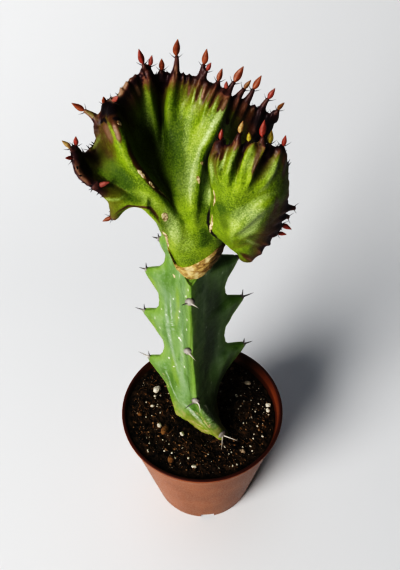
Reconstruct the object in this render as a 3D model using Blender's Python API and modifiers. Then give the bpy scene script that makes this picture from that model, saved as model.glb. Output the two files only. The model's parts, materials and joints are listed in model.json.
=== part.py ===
# Potted coral cactus: a crested, fan-shaped succulent grafted on a three-winged rootstock,
# standing in a small tapered plastic nursery pot. Metres, +Z up, origin under the pot's centre.
import math
import random
import bpy
import bmesh
import numpy as np
from mathutils import Matrix, Vector, kdtree, noise

MM = 0.001

# Driving dimensions, in millimetres and degrees.
POT_RIM_R = 42.5
POT_HEIGHT = 72.5
POT_FOOT_R = 28.8
POT_WALL = 1.25
POT_COLLAR_Z = 66.8
POT_COLLAR_R = 40.7
POT_FLOOR_Z = 2.6
POT_FLOOR_THICK = 1.2
NOTCH_WIDTH = 7.8
NOTCH_HEIGHT = 3.4
NOTCH_COUNT = 4
DRAIN_R = 3.0
DRAIN_RING_R = 17.0
DRAIN_COUNT = 6
SOIL_MEAN_Z = 67.6
SOIL_TILT = 3.0
SOIL_FALLS_TO = 25.0
SOIL_REACH = 39.0
SOIL_CLEARANCE = 0.3
STOCK_FOOT_Z = 57.5
STOCK_TOP_Z = 204.0
FOOT_BLUNT = 1.9
FOOT_TOOTH_Z = 75.0
FIT_GAP = 0.34
CALLUS_PROUD = 0.9
SPINE_R = 0.42
SPINE_TIP_R = 0.12
STOCK_SPINE = 3.6
CREST_SPINE = 2.4
LEAF_THICK = 0.9
SOCKET_TOP_Z = 84.0
SOCKET_GAP = 0.42
SHEET_MAX = 14.0
SHEET_SHIFT = -0.4
SPINE_SEAT = 0.985
FINGER_ROOT = 2.2
FINGER_R = 1.7
FINGER_TIP_R = 0.85
GRAIN_COUNT = 34
VOXEL = 0.8
CREST_TRIANGLES = 4400

# Lower and upper line of the graft's callus, seen from the front (x, z).
GRAFT_LOW = ((-40.0, 208.0), (-14.5, 194.0), (-9.0, 181.0), (-6.2, 178.6), (-3.1, 177.0), (0.8, 179.4),
             (3.6, 182.2), (6.0, 184.2), (9.0, 186.0), (14.0, 188.0), (40.0, 200.0))
GRAFT_HIGH = ((-40.0, 209.5), (-14.5, 195.5), (-9.2, 182.8), (-6.5, 183.0), (-3.7, 185.0), (0.2, 187.7),
              (3.2, 189.9), (6.3, 191.6), (9.1, 192.4), (12.5, 193.6), (13.0, 172.0), (40.0, 165.0))

# Rootstock, by height: axis x, axis y, and the reach and bearing of each wing.
STOCK_AXIS = ((57.0, 3.0, -6.5), (68.0, 2.5, -6.0), (80.0, 0.0, -4.0), (95.0, -1.0, -2.0),
              (110.0, -2.0, -1.0), (130.0, -2.5, 0.0), (155.0, -2.5, 0.5), (204.0, -2.0, 1.0))
WING_LEFT = ((57.0, 12.5), (66.6, 15.0), (71.0, 16.5), (81.0, 17.0), (89.0, 19.0), (99.5, 26.0),
             (103.5, 27.6), (105.0, 25.8), (107.5, 20.8), (111.0, 18.4), (116.0, 17.2), (121.0, 17.6),
             (129.0, 21.6), (134.0, 25.0), (137.5, 26.6), (138.8, 24.8), (141.2, 19.6), (144.0, 17.8),
             (148.5, 17.0), (153.0, 17.8), (160.0, 21.2), (165.0, 23.4), (166.4, 21.6), (169.0, 16.2),
             (173.0, 13.8), (178.0, 12.8), (183.0, 15.4), (185.0, 16.2), (187.0, 14.2), (204.0, 12.4))
WING_RIGHT = ((57.0, 9.0), (75.5, 8.6), (89.8, 11.6), (96.5, 15.0), (102.0, 19.0), (110.0, 25.0),
              (112.7, 26.2), (114.2, 24.2), (116.6, 17.6), (119.5, 15.6), (125.0, 14.8), (131.0, 15.6),
              (138.5, 19.2), (144.0, 23.2), (146.6, 24.4), (148.0, 22.4), (150.4, 16.6), (153.0, 14.8),
              (157.4, 14.2), (162.0, 15.4), (168.0, 18.6), (172.5, 20.8), (174.2, 18.4), (176.6, 12.6),
              (180.5, 9.6), (187.0, 8.6), (204.0, 8.2))
WING_FRONT = ((57.0, 11.5), (66.0, 13.6), (70.0, 14.6), (72.5, 13.4), (85.0, 12.2), (99.0, 15.6),
              (102.5, 16.8), (104.5, 15.4), (118.0, 13.4), (136.0, 15.8), (140.0, 16.8), (142.5, 15.2),
              (154.0, 13.0), (167.0, 15.0), (170.0, 15.6), (172.5, 14.0), (180.0, 12.4), (204.0, 11.0))
BEARING_LEFT = ((57.0, 172.0), (70.0, 168.0), (90.0, 158.0), (105.0, 155.0), (204.0, 155.0))
BEARING_RIGHT = ((57.0, 45.0), (75.0, 40.0), (95.0, 28.0), (112.0, 25.0), (204.0, 24.0))
BEARING_FRONT = ((57.0, -46.0), (70.0, -50.0), (85.0, -78.0), (102.0, -95.0), (204.0, -98.0))
STOCK_TEETH = (("left", 103.5), ("left", 137.5), ("left", 165.0), ("left", 185.0),
               ("right", 112.7), ("right", 146.6), ("right", 172.5),
               ("front", 70.0), ("front", 102.5), ("front", 140.0), ("front", 170.0))

# Neck of the crest: height, centre x and y, half width and half depth.
NECK = ((168.0, -1.2, 0.0, 9.0, 7.0), (178.0, -1.2, -0.3, 9.6, 8.0), (184.0, -1.2, -0.5, 10.3, 8.6),
        (190.0, -1.4, -0.9, 11.2, 8.6), (197.0, -2.2, -1.4, 12.0, 8.4), (202.0, -2.6, -1.8, 11.4, 7.4),
        (205.5, -2.8, -2.0, 10.0, 6.0), (208.0, -3.0, -2.0, 8.0, 4.4), (210.0, -3.2, -1.5, 5.0, 2.4))

# Crest fans, millimetres. Each station lists four points from the margin down to the neck; the
# root line is where the sheet enters the neck. Folds: place along the margin, half width, height
# towards the front, and how far up the sheet they begin. Thickness runs from the root to the margin.
MAIN_FAN = {
    "root": ((-10, 1, 180), (7, 1, 184)),
    "stations": (((-29.5, 5, 245.5), (-24.5, 8, 235), (-20, 5, 224.5), (-13.5, 0, 213)),
                 ((-24.5, 7, 250.5), (-21, 12, 237), (-17.5, 8, 224.5), (-11.5, -1, 213)),
                 ((-20.5, 10, 253), (-18.5, 14, 238), (-15.5, 9, 226), (-10.5, -2, 214)),
                 ((-17, 12, 253.5), (-16.5, 15, 238.5), (-13, 8.5, 226.5), (-9, -3, 215.5)),
                 ((-12, 15, 252), (-12.5, 16.5, 237.5), (-11, 8, 227.5), (-7.5, -4.5, 216)),
                 ((-7, 14.5, 252), (-8.5, 13.5, 240), (-8.5, 6, 228.5), (-6, -5.5, 216.5)),
                 ((-3, 14.5, 251.5), (-5, 13, 240), (-6, 4.5, 229), (-5, -6, 216)),
                 ((1.5, 14, 250.5), (-1.5, 11, 240.5), (-3.5, 3, 229.5), (-3.5, -6.5, 215)),
                 ((5.5, 13, 248.5), (2, 8, 240), (-1.5, 1.5, 229.5), (-2.5, -7, 213.5)),
                 ((10, 12, 245.5), (5.5, 5, 238), (0, 0, 228.5), (-2, -7.5, 212)),
                 ((14, 13, 243.5), (9.5, 9, 233), (3.5, 3, 222.5), (-0.5, -5, 209)),
                 ((18.5, 14, 240.5), (14, 12.5, 229.5), (8, 6, 217), (1.5, -3, 206)),
                 ((23, 14, 238), (19.5, 14.5, 226), (13, 8, 214.5), (3.5, -1.5, 204)),
                 ((28, 12, 237.5), (25, 13, 224.5), (18.5, 9, 212.5), (6, 0, 201))),
    "folds": ((0.1, 0.03, 0.8, 0.55), (0.154, 0.018, 0.8, 0.75), (0.231, 0.034, 2.0, 0.35),
              (0.308, 0.028, -1.2, 0.4), (0.385, 0.024, 1.7, 0.45), (0.44, 0.012, 0.7, 0.8),
              (0.48, 0.012, 0.7, 0.8), (0.54, 0.017, 1.1, 0.62), (0.585, 0.013, 1.0, 0.72),
              (0.63, 0.013, 1.2, 0.55), (0.664, 0.011, 1.0, 0.62), (0.697, 0.022, 1.6, 0.12),
              (0.765, 0.016, 1.4, 0.6), (0.82, 0.016, 1.5, 0.55), (0.87, 0.014, 1.0, 0.7),
              (0.915, 0.018, 1.5, 0.6), (0.97, 0.015, 1.0, 0.7)),
    "thick": (9.5, 7.5, 5.4, 4.0, 2.8),
}
LEFT_FAN = {
    "root": ((-12.5, -4, 196.5), (-5.5, -6.5, 202.5)),
    "stations": (((-14, -2, 207), (-13.5, -3, 206.5), (-12.5, -4, 204.5), (-12, -4, 201.5)),
                 ((-19, -5, 213), (-17.5, -6, 213.5), (-15.5, -7, 212.5), (-13, -6.5, 207.5)),
                 ((-25, -8, 215), (-23, -9, 216), (-19.5, -9.5, 216), (-14.5, -8.5, 211.5)),
                 ((-30.5, -10, 211), (-27.5, -11.5, 216), (-23, -11.5, 218.5), (-15.5, -9.5, 213)),
                 ((-31, -11.5, 220), (-29.5, -12.5, 221), (-24, -10.5, 220.5), (-16, -10, 215.5)),
                 ((-35.5, -12, 225), (-34, -11, 225), (-29, -8, 222.5), (-17, -10, 217)),
                 ((-40, -11, 231), (-37.5, -9, 229), (-31.5, -6, 224), (-18.5, -10, 218.5)),
                 ((-39.5, -9, 238), (-38, -7, 232), (-32, -5, 226.5), (-19, -10, 219.5)),
                 ((-38, -1, 232), (-35, -2, 229.5), (-30.5, -5, 228), (-19.5, -10, 221)),
                 ((-34.5, 2, 235.5), (-33, 0, 232), (-28.5, -5, 229.5), (-19, -10, 221.5)),
                 ((-33.5, 4, 242.5), (-30.5, 0, 237), (-26, -5.5, 231.5), (-18, -10, 223)),
                 ((-29, 8, 246), (-26, -3.5, 243), (-22.5, -8, 234), (-15.5, -10.5, 223.5)),
                 ((-25, 9, 247.5), (-24, 9, 234.5), (-20, 5, 224), (-13, -1, 215.5))),
    "folds": ((0.25, 0.03, 0.8, 0.6), (0.69, 0.018, 0.9, 0.7), (0.79, 0.02, 0.8, 0.75), (0.917, 0.022, 0.8, 0.05)),
    "thick": (8.0, 6.0, 4.2, 3.4, 2.6),
}
RIGHT_FAN = {
    "root": ((4.5, -6, 201.5), (14, -7, 192)),
    "stations": (((8.5, -4, 239), (6, -3, 230.5), (6, -4, 222), (6, -5, 212)),
                 ((7.5, -10, 242), (4.5, -10, 234.5), (5.5, -9.5, 225), (6.5, -8.5, 214.5)),
                 ((6.5, -13, 243), (5, -14, 236), (6.5, -13.5, 227), (7, -11, 216)),
                 ((8.5, -13, 241.5), (6.5, -15, 236.5), (8.5, -15.5, 228), (8, -13, 217)),
                 ((12.5, -14, 243.5), (10, -16, 237), (10, -17, 229), (9, -14, 216.5)),
                 ((15, -13, 242), (13.5, -15.5, 236), (11.5, -17.5, 228.5), (9.5, -15, 216)),
                 ((18.5, -14, 242.5), (16, -16.5, 237), (14, -18, 228.5), (10, -15.5, 215.5)),
                 ((22, -12.5, 240.5), (19.5, -16, 235.5), (16, -18, 227.5), (10.5, -16, 214.5)),
                 ((26.5, -11, 239), (24, -14.5, 232), (19, -17.5, 226), (11.5, -16, 213.5)),
                 ((29.5, -9, 232), (27, -13, 227.5), (20.5, -17.5, 223.5), (12.5, -16, 212)),
                 ((30, -8.5, 221), (26, -13.5, 222.5), (20.5, -18, 221.5), (13, -16.5, 210.5)),
                 ((31.5, -7, 213), (27, -11, 215), (20.5, -15.5, 216), (13.5, -15, 207.5)),
                 ((30, -7.5, 208), (25.5, -11, 210), (20, -15, 212), (14, -14.5, 205.5)),
                 ((28.5, -8, 201.5), (24.5, -11, 205), (19.5, -14.5, 208.5), (14, -14, 204)),
                 ((26.5, -8.5, 197.5), (23, -11.5, 201.5), (19, -14, 205.5), (14.5, -13, 201.5)),
                 ((23.5, -8.5, 193), (21, -11, 197.5), (18, -13, 201.5), (14.5, -12, 199)),
                 ((19.5, -8, 186), (18.5, -10, 191), (16.5, -12, 196.5), (14.5, -11, 196.5)),
                 ((15.5, -6, 186), (15, -8, 189.5), (14.5, -9, 192.5), (14, -9, 193.5))),
    "folds": ((0.118, 0.02, 0.5, 0.5), (0.15, 0.012, -1.2, 0.5), (0.185, 0.014, 1.2, 0.4),
              (0.235, 0.014, 1.4, 0.35), (0.285, 0.018, -1.3, 0.45), (0.335, 0.016, 1.2, 0.35),
              (0.378, 0.012, 1.6, 0.4), (0.418, 0.018, -1.4, 0.45), (0.455, 0.014, 1.2, 0.45),
              (0.49, 0.014, 0.7, 0.65), (0.588, 0.024, 1.5, 0.1), (0.66, 0.013, 1.0, 0.7),
              (0.705, 0.013, 1.1, 0.7), (0.745, 0.013, 0.9, 0.7), (0.79, 0.014, -0.8, 0.55),
              (0.84, 0.014, 0.8, 0.6), (0.89, 0.014, 0.9, 0.6)),
    "thick": (6.0, 6.0, 5.0, 3.8, 2.6),
}
FANS = {"main": MAIN_FAN, "left": LEFT_FAN, "right": RIGHT_FAN}

# Fingers on the margin: fan, place along it, finger length, leaf length, lean (x, y, z).
FINGERS = (
    ("main", 0.03, 0.6, 4.2, (0.9, -0.6, 0.5)), ("main", 0.235, 3.4, 5.0, (-0.2, 0.0, 1.0)),
    ("main", 0.25, 2.6, 3.6, (0.35, 0.1, 1.0)), ("main", 0.315, 1.0, 4.4, (0.05, 0.0, 1.0)),
    ("main", 0.385, 6.2, 5.8, (0.08, 0.0, 1.0)), ("main", 0.54, 4.8, 5.2, (0.16, 0.0, 1.0)),
    ("main", 0.55, 3.6, 3.2, (0.5, -0.4, 1.0)), ("main", 0.635, 2.2, 4.4, (0.3, 0.0, 1.0)),
    ("main", 0.68, 1.6, 3.4, (0.1, -0.4, 1.0)), ("main", 0.7, 5.0, 6.0, (0.55, 0.0, 1.0)),
    ("main", 0.765, 4.0, 3.6, (0.8, 0.0, 0.9)), ("main", 0.82, 5.2, 5.2, (0.5, 0.0, 1.0)),
    ("main", 0.915, 4.8, 4.4, (0.6, 0.0, 1.0)), ("main", 0.985, 2.0, 4.0, (0.5, -0.2, 0.9)),
    ("left", 0.57, 2.6, 4.2, (-0.6, -0.2, 1.0)), ("left", 0.59, 2.2, 3.8, (0.3, -0.2, 1.0)),
    ("left", 0.55, 0.8, 2.8, (-0.6, -0.6, 0.2)), ("left", 0.25, 0.8, 3.4, (-0.9, -0.3, -0.1)),
    ("left", 0.83, 4.6, 4.6, (-1.0, 0.0, 0.45)), ("left", 0.89, 0.4, 3.6, (0.1, -0.6, 0.9)),
    ("left", 0.42, 2.4, 4.4, (1.0, 0.3, 0.25)),
    ("right", 0.14, 1.4, 3.6, (0.1, 0.1, 1.0)), ("right", 0.235, 3.0, 4.2, (0.15, 0.1, 1.0)),
    ("right", 0.31, 1.0, 3.0, (0.0, 0.3, 1.0)), ("right", 0.375, 2.8, 5.6, (0.0, 0.1, 1.0)),
    ("right", 0.42, 1.2, 4.2, (0.1, 0.3, 1.0)), ("right", 0.48, 1.4, 3.6, (0.1, 0.0, 1.0)),
    ("right", 0.66, 3.4, 0.0, (0.95, -0.1, -0.2)), ("right", 0.705, 3.0, 0.0, (0.95, -0.2, -0.3)),
    ("right", 0.735, 1.4, 4.4, (0.8, -0.2, -0.5)), ("right", 0.775, 1.0, 3.4, (0.9, -0.3, 0.0)),
)

# Perlite and bark grains that can be told apart on the soil: x, y, size.
GRAINS = ((-24.7, 13.2, 4.6), (-25.5, 8.5, 2.4), (-26.5, 2.0, 2.6), (25.7, 18.5, 3.6), (10.5, 17.5, 2.8),
          (17.5, 28.5, 2.4), (19.0, 9.5, 2.4), (36.0, 4.5, 2.2), (35.5, 1.0, 2.0), (-10.5, -15.5, 2.4),
          (-4.5, -33.0, 2.2), (-22.5, -9.5, 2.8), (-19.5, -13.0, 3.4), (-14.0, -28.0, 3.0), (20.5, -24.0, 3.2),
          (-33.0, -3.0, 3.0), (31.5, -12.0, 2.4), (2.0, 33.5, 3.0), (-12.0, 30.0, 2.6))


def clear_scene():
    for obj in list(bpy.data.objects):
        bpy.data.objects.remove(obj, do_unlink=True)


def make_material(name, colour, roughness, metallic=0.0):
    mat = bpy.data.materials.new(name)
    mat.use_nodes = True
    shader = mat.node_tree.nodes["Principled BSDF"]
    shader.inputs["Base Color"].default_value = (*colour, 1.0)
    shader.inputs["Roughness"].default_value = roughness
    shader.inputs["Metallic"].default_value = metallic
    mat.diffuse_color = (*colour, 1.0)
    return mat


def object_from_bmesh(name, bm, collection):
    bmesh.ops.recalc_face_normals(bm, faces=bm.faces)
    mesh = bpy.data.meshes.new(name)
    bm.to_mesh(mesh)
    bm.free()
    obj = bpy.data.objects.new(name, mesh)
    collection.objects.link(obj)
    return obj


def apply_all(obj):
    graph = bpy.context.evaluated_depsgraph_get()
    mesh = bpy.data.meshes.new_from_object(obj.evaluated_get(graph))
    obj.modifiers.clear()
    obj.data = mesh


def as_cutter(obj):
    obj.hide_render = True
    obj.display_type = "WIRE"
    return obj


def boolean(obj, operation, operand, solver="EXACT"):
    mod = obj.modifiers.new(operation.title(), "BOOLEAN")
    mod.operation = operation
    mod.solver = solver
    if isinstance(operand, bpy.types.Collection):
        mod.operand_type = "COLLECTION"
        mod.collection = operand
    else:
        mod.object = operand
    apply_all(obj)


def fuse(obj, collection):
    boolean(obj, "UNION", collection)
    for part in list(collection.objects):
        bpy.data.objects.remove(part, do_unlink=True)


def triangulate(obj):
    bm = bmesh.new()
    bm.from_mesh(obj.data)
    bmesh.ops.dissolve_degenerate(bm, dist=0.00001, edges=bm.edges)
    bmesh.ops.triangulate(bm, faces=bm.faces)
    bm.to_mesh(obj.data)
    bm.free()


def turned(name, profile, steps, collection):
    bm = bmesh.new()
    verts = [bm.verts.new((r * MM, 0.0, z * MM)) for r, z in profile]
    for a, b in zip(verts, verts[1:]):
        bm.edges.new((a, b))
    mesh = bpy.data.meshes.new(name)
    bm.to_mesh(mesh)
    bm.free()
    obj = bpy.data.objects.new(name, mesh)
    collection.objects.link(obj)
    screw = obj.modifiers.new("Screw", "SCREW")
    screw.steps = steps
    screw.render_steps = steps
    screw.use_merge_vertices = True
    screw.merge_threshold = 0.00005
    return obj


def level(table, z):
    heights = [row[0] for row in table]
    return float(np.interp(z, heights, [row[1] for row in table]))


def catmull(rows, t):
    rows = np.asarray(rows, float)
    last = len(rows) - 1
    i = min(max(int(math.floor(t)), 0), last - 1)
    f = t - i
    p0, p1, p2, p3 = (rows[min(max(k, 0), last)] for k in (i - 1, i, i + 1, i + 2))
    return 0.5 * (2 * p1 + (p2 - p0) * f + (2 * p0 - 5 * p1 + 4 * p2 - p3) * f ** 2
                  + (3 * p1 - p0 - 3 * p2 + p3) * f ** 3)


def smoothstep(low, high, x):
    t = min(1.0, max(0.0, (x - low) / (high - low)))
    return t * t * (3 - 2 * t)


def fan_point(fan, u, v):
    """A point of the sheet's net: u runs along the margin, v from the root up to it."""
    stations = np.array(fan["stations"], float)
    last = len(stations) - 1
    a, b = (np.array(p, float) for p in fan["root"])
    rows = [a + (b - a) * u] + [catmull(stations[:, k], u * last) for k in (3, 2, 1, 0)]
    rows = [2 * rows[0] - rows[1]] + rows + [2 * rows[-1] - rows[-2]]
    return Vector(catmull(rows, 1 + v * 4))


def fold_height(fan, u, v):
    return sum(height * math.exp(-((u - place) / half) ** 2) * smoothstep(begin, min(1.0, begin + 0.3), v)
               for place, half, height, begin in fan["folds"])


def sheet_point(fan, u, v):
    """The net's point, carried to the front by the folds."""
    step = 0.004
    middle = fan_point(fan, u, v)
    across = fan_point(fan, min(1.0, u + step), v) - fan_point(fan, max(0.0, u - step), v)
    along = fan_point(fan, u, v + step) - fan_point(fan, u, v - step)
    return middle + across.cross(along).normalized() * fold_height(fan, u, v)


def fan_sheet(name, fan, across, along, collection):
    bm = bmesh.new()
    bmesh.ops.create_grid(bm, x_segments=across, y_segments=along, size=1.0)
    mesh = bpy.data.meshes.new(name)
    weights = []
    for vert in bm.verts:
        u = (vert.co.x + 1.0) / 2
        v = (vert.co.y + 1.0) / 2
        tooth = max(-1.0, min(1.5, fold_height(fan, u, 1.0)))
        reach = v * (1.0 + (0.03 * tooth - 0.01) * v ** 4)
        vert.co = sheet_point(fan, u, reach) * MM
        thick = float(np.interp(v, np.linspace(0, 1, 5), fan["thick"])) + 0.5 * abs(fold_height(fan, u, v))
        weights.append(thick / SHEET_MAX)
    bm.to_mesh(mesh)
    bm.free()
    obj = bpy.data.objects.new(name, mesh)
    collection.objects.link(obj)
    group = obj.vertex_groups.new(name="thickness")
    for index, weight in enumerate(weights):
        group.add([index], weight, "REPLACE")
    shell = obj.modifiers.new("Solidify", "SOLIDIFY")
    shell.thickness = SHEET_MAX * MM
    shell.offset = SHEET_SHIFT
    shell.vertex_group = group.name
    apply_all(obj)
    return obj


def prism_xz(name, outline, y0, y1, collection):
    bm = bmesh.new()
    face = bm.faces.new([bm.verts.new((x * MM, y0 * MM, z * MM)) for x, z in outline])
    out = bmesh.ops.extrude_face_region(bm, geom=[face])
    for item in out["geom"]:
        if isinstance(item, bmesh.types.BMVert):
            item.co.y = y1 * MM
    return object_from_bmesh(name, bm, collection)


def ellipse_loft(name, sections, sides, collection, wobble=0.0):
    bm = bmesh.new()
    rings = []
    for z, cx, cy, rx, ry in sections:
        ring = []
        for k in range(sides):
            a = 2 * math.pi * k / sides
            out = 1.0 + wobble * noise.noise(Vector((math.cos(a) * 2.1, math.sin(a) * 2.1, z * 0.13)))
            ring.append(bm.verts.new(((cx + rx * out * math.cos(a)) * MM,
                                      (cy + ry * out * math.sin(a)) * MM, z * MM)))
        rings.append(ring)
    bridge(bm, rings)
    return object_from_bmesh(name, bm, collection)


def bridge(bm, rings):
    sides = len(rings[0])
    for low, high in zip(rings, rings[1:]):
        for k in range(sides):
            n = (k + 1) % sides
            bm.faces.new((low[k], low[n], high[n], high[k]))
    bm.faces.new(list(reversed(rings[0])))
    bm.faces.new(rings[-1])


def wing(name, z):
    reach, bearing = {"left": (WING_LEFT, BEARING_LEFT), "right": (WING_RIGHT, BEARING_RIGHT),
                      "front": (WING_FRONT, BEARING_FRONT)}[name]
    return level(reach, z), math.radians(level(bearing, z))


def stock_axis(z):
    heights = [row[0] for row in STOCK_AXIS]
    return (float(np.interp(z, heights, [row[1] for row in STOCK_AXIS])),
            float(np.interp(z, heights, [row[2] for row in STOCK_AXIS])))


def stock_section(z, grow):
    cx, cy = stock_axis(z)
    wings = [wing(name, z) for name in ("right", "left", "front")]
    points = []
    for index, (reach, bearing) in enumerate(wings):
        following = wings[(index + 1) % 3][1]
        if following < bearing:
            following += 2 * math.pi
        core = 7.2 if reach > 9.0 else 0.8 * reach
        blunt = 1.25 + (FOOT_BLUNT * (1 - smoothstep(76.0, 98.0, z)) if index == 2 else 0.0)
        for along, half in ((0.56 * reach, -3.9), (reach - 0.7, -blunt), (reach, 0.0),
                            (reach - 0.7, blunt), (0.56 * reach, 3.9)):
            r = along + grow
            h = half + math.copysign(grow, half) if half else 0.0
            points.append((cx + r * math.cos(bearing) - h * math.sin(bearing),
                           cy + r * math.sin(bearing) + h * math.cos(bearing)))
        middle = (bearing + following) / 2
        points.append((cx + (core + grow) * math.cos(middle), cy + (core + grow) * math.sin(middle)))
    return points


def stock_loft(name, z0, z1, grow, collection):
    heights = {z0, z1}
    for table in (WING_LEFT, WING_RIGHT, WING_FRONT):
        heights.update(row[0] for row in table if z0 + 0.8 < row[0] < z1 - 0.8)
    kept = []
    for z in sorted(heights):
        if not kept or z - kept[-1] > 1.3 or z == z1:
            kept.append(z)
    bm = bmesh.new()
    rings = []
    for z in kept:
        rings.append([bm.verts.new((x * MM, y * MM, z * MM)) for x, y in stock_section(z, grow)])
    bridge(bm, rings)
    return object_from_bmesh(name, bm, collection)


def cone(name, foot, tip, r0, r1, sides, collection):
    bm = bmesh.new()
    axis = tip - foot
    bmesh.ops.create_cone(bm, cap_ends=True, cap_tris=False, segments=sides, radius1=r0 * MM,
                          radius2=r1 * MM, depth=axis.length * MM)
    turn = axis.to_track_quat("Z", "Y").to_matrix().to_4x4()
    place = Matrix.Translation((foot + tip) / 2 * MM)
    bmesh.ops.transform(bm, matrix=place @ turn, verts=bm.verts)
    return object_from_bmesh(name, bm, collection)


def leaf_blade(name, foot, direction, facing, length, collection):
    width = 0.27 * length
    bm = bmesh.new()
    bmesh.ops.create_uvsphere(bm, u_segments=6, v_segments=3, radius=1.0)
    z_axis = direction.normalized()
    x_axis = facing.cross(z_axis).normalized()
    y_axis = z_axis.cross(x_axis)
    for vert in bm.verts:
        x, y, z = vert.co
        along = (z + 1.0) / 2
        broad = width * (1.25 if z < 0 else 0.8)
        vert.co = (foot + x_axis * (x * broad) + y_axis * (y * LEAF_THICK * 0.62)
                   + z_axis * (along ** 0.9 * length)) * MM
    return object_from_bmesh(name, bm, collection)


def add_spine_pair(name, point, outward, along, length, collection):
    for side in (-1, 1):
        way = (outward * 0.8 + along * side * 0.75).normalized()
        cone(f"{name}_{'a' if side < 0 else 'b'}", point - way * 1.2, point + way * length,
             SPINE_R, SPINE_TIP_R, 4, collection)


def pot_inside(z):
    """Inner radius of the pot at a height."""
    slope = (POT_COLLAR_R - POT_FOOT_R) / (POT_COLLAR_Z - 1.0)
    low_z = POT_FLOOR_Z + POT_FLOOR_THICK
    walls = ((low_z, POT_FOOT_R + low_z * slope - POT_WALL), (POT_COLLAR_Z, POT_COLLAR_R - POT_WALL),
             (POT_COLLAR_Z + 0.9, POT_COLLAR_R + 0.7 - POT_WALL), (POT_HEIGHT - 0.3, POT_RIM_R - 1.8))
    return level(walls, z)


def build_pot(parts, cutters):
    floor_top = POT_FLOOR_Z + POT_FLOOR_THICK
    profile = [(POT_RIM_R - 0.9, POT_HEIGHT), (POT_RIM_R - 0.2, POT_HEIGHT - 0.15),
               (POT_RIM_R, POT_HEIGHT - 0.6), (POT_RIM_R - 0.1, POT_HEIGHT - 1.5),
               (POT_RIM_R - 0.8, POT_HEIGHT - 1.9), (POT_COLLAR_R + 0.7, POT_COLLAR_Z + 0.4),
               (POT_COLLAR_R, POT_COLLAR_Z), (POT_FOOT_R, 1.0), (POT_FOOT_R - 0.5, 0.0),
               (POT_FOOT_R - 2.4, 0.0), (POT_FOOT_R - 2.8, POT_FLOOR_Z), (0.0, POT_FLOOR_Z),
               (0.0, floor_top), (pot_inside(floor_top), floor_top), (pot_inside(POT_COLLAR_Z), POT_COLLAR_Z),
               (pot_inside(POT_COLLAR_Z + 0.9), POT_COLLAR_Z + 0.9), (POT_RIM_R - 1.8, POT_HEIGHT - 0.3),
               (POT_RIM_R - 0.9, POT_HEIGHT)]
    pot = turned("pot", profile, 44, parts)
    apply_all(pot)
    weld = pot.modifiers.new("Weld", "WELD")
    weld.merge_threshold = 0.00002
    apply_all(pot)
    for k in range(NOTCH_COUNT):
        a = math.radians(-86.0 + 360.0 * k / NOTCH_COUNT)
        bm = bmesh.new()
        bmesh.ops.create_cube(bm, size=1.0)
        shape = Matrix.Diagonal((9.0 * MM, NOTCH_WIDTH * MM, 2 * NOTCH_HEIGHT * MM, 1.0))
        place = Matrix.Rotation(a, 4, "Z") @ Matrix.Translation((POT_FOOT_R * MM, 0.0, 0.0))
        bmesh.ops.transform(bm, matrix=place @ shape, verts=bm.verts)
        as_cutter(object_from_bmesh(f"foot_notch_{k}", bm, cutters))
    for k in range(DRAIN_COUNT):
        a = math.radians(30.0 + 360.0 * k / DRAIN_COUNT)
        bm = bmesh.new()
        bmesh.ops.create_cone(bm, cap_ends=True, segments=12, radius1=DRAIN_R * MM,
                              radius2=DRAIN_R * MM, depth=8 * MM)
        spot = Vector((DRAIN_RING_R * math.cos(a), DRAIN_RING_R * math.sin(a), POT_FLOOR_Z)) * MM
        bmesh.ops.translate(bm, vec=spot, verts=bm.verts)
        as_cutter(object_from_bmesh(f"drain_hole_{k}", bm, cutters))
    boolean(pot, "DIFFERENCE", cutters)
    for cutter in list(cutters.objects):
        bpy.data.objects.remove(cutter, do_unlink=True)
    triangulate(pot)
    return pot


def soil_edge(x, y):
    """Height of the soil against the pot's wall: it falls to one side."""
    toward = math.radians(SOIL_FALLS_TO)
    return SOIL_MEAN_Z - SOIL_TILT * (x * math.cos(toward) + y * math.sin(toward)) / SOIL_REACH


def soil_height(x, y):
    r = math.hypot(x, y)
    lump = 1.6 * noise.noise(Vector((x * 0.09, y * 0.09, 0.4))) + 0.9 * noise.noise(Vector((x * 0.23, y * 0.23, 3.1)))
    crown = 0.8 * (1.0 - (r / 40.0) ** 2)
    return soil_edge(x, y) + crown + lump * min(1.0, (SOIL_REACH - r) / 7.0 + 0.25)


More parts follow.
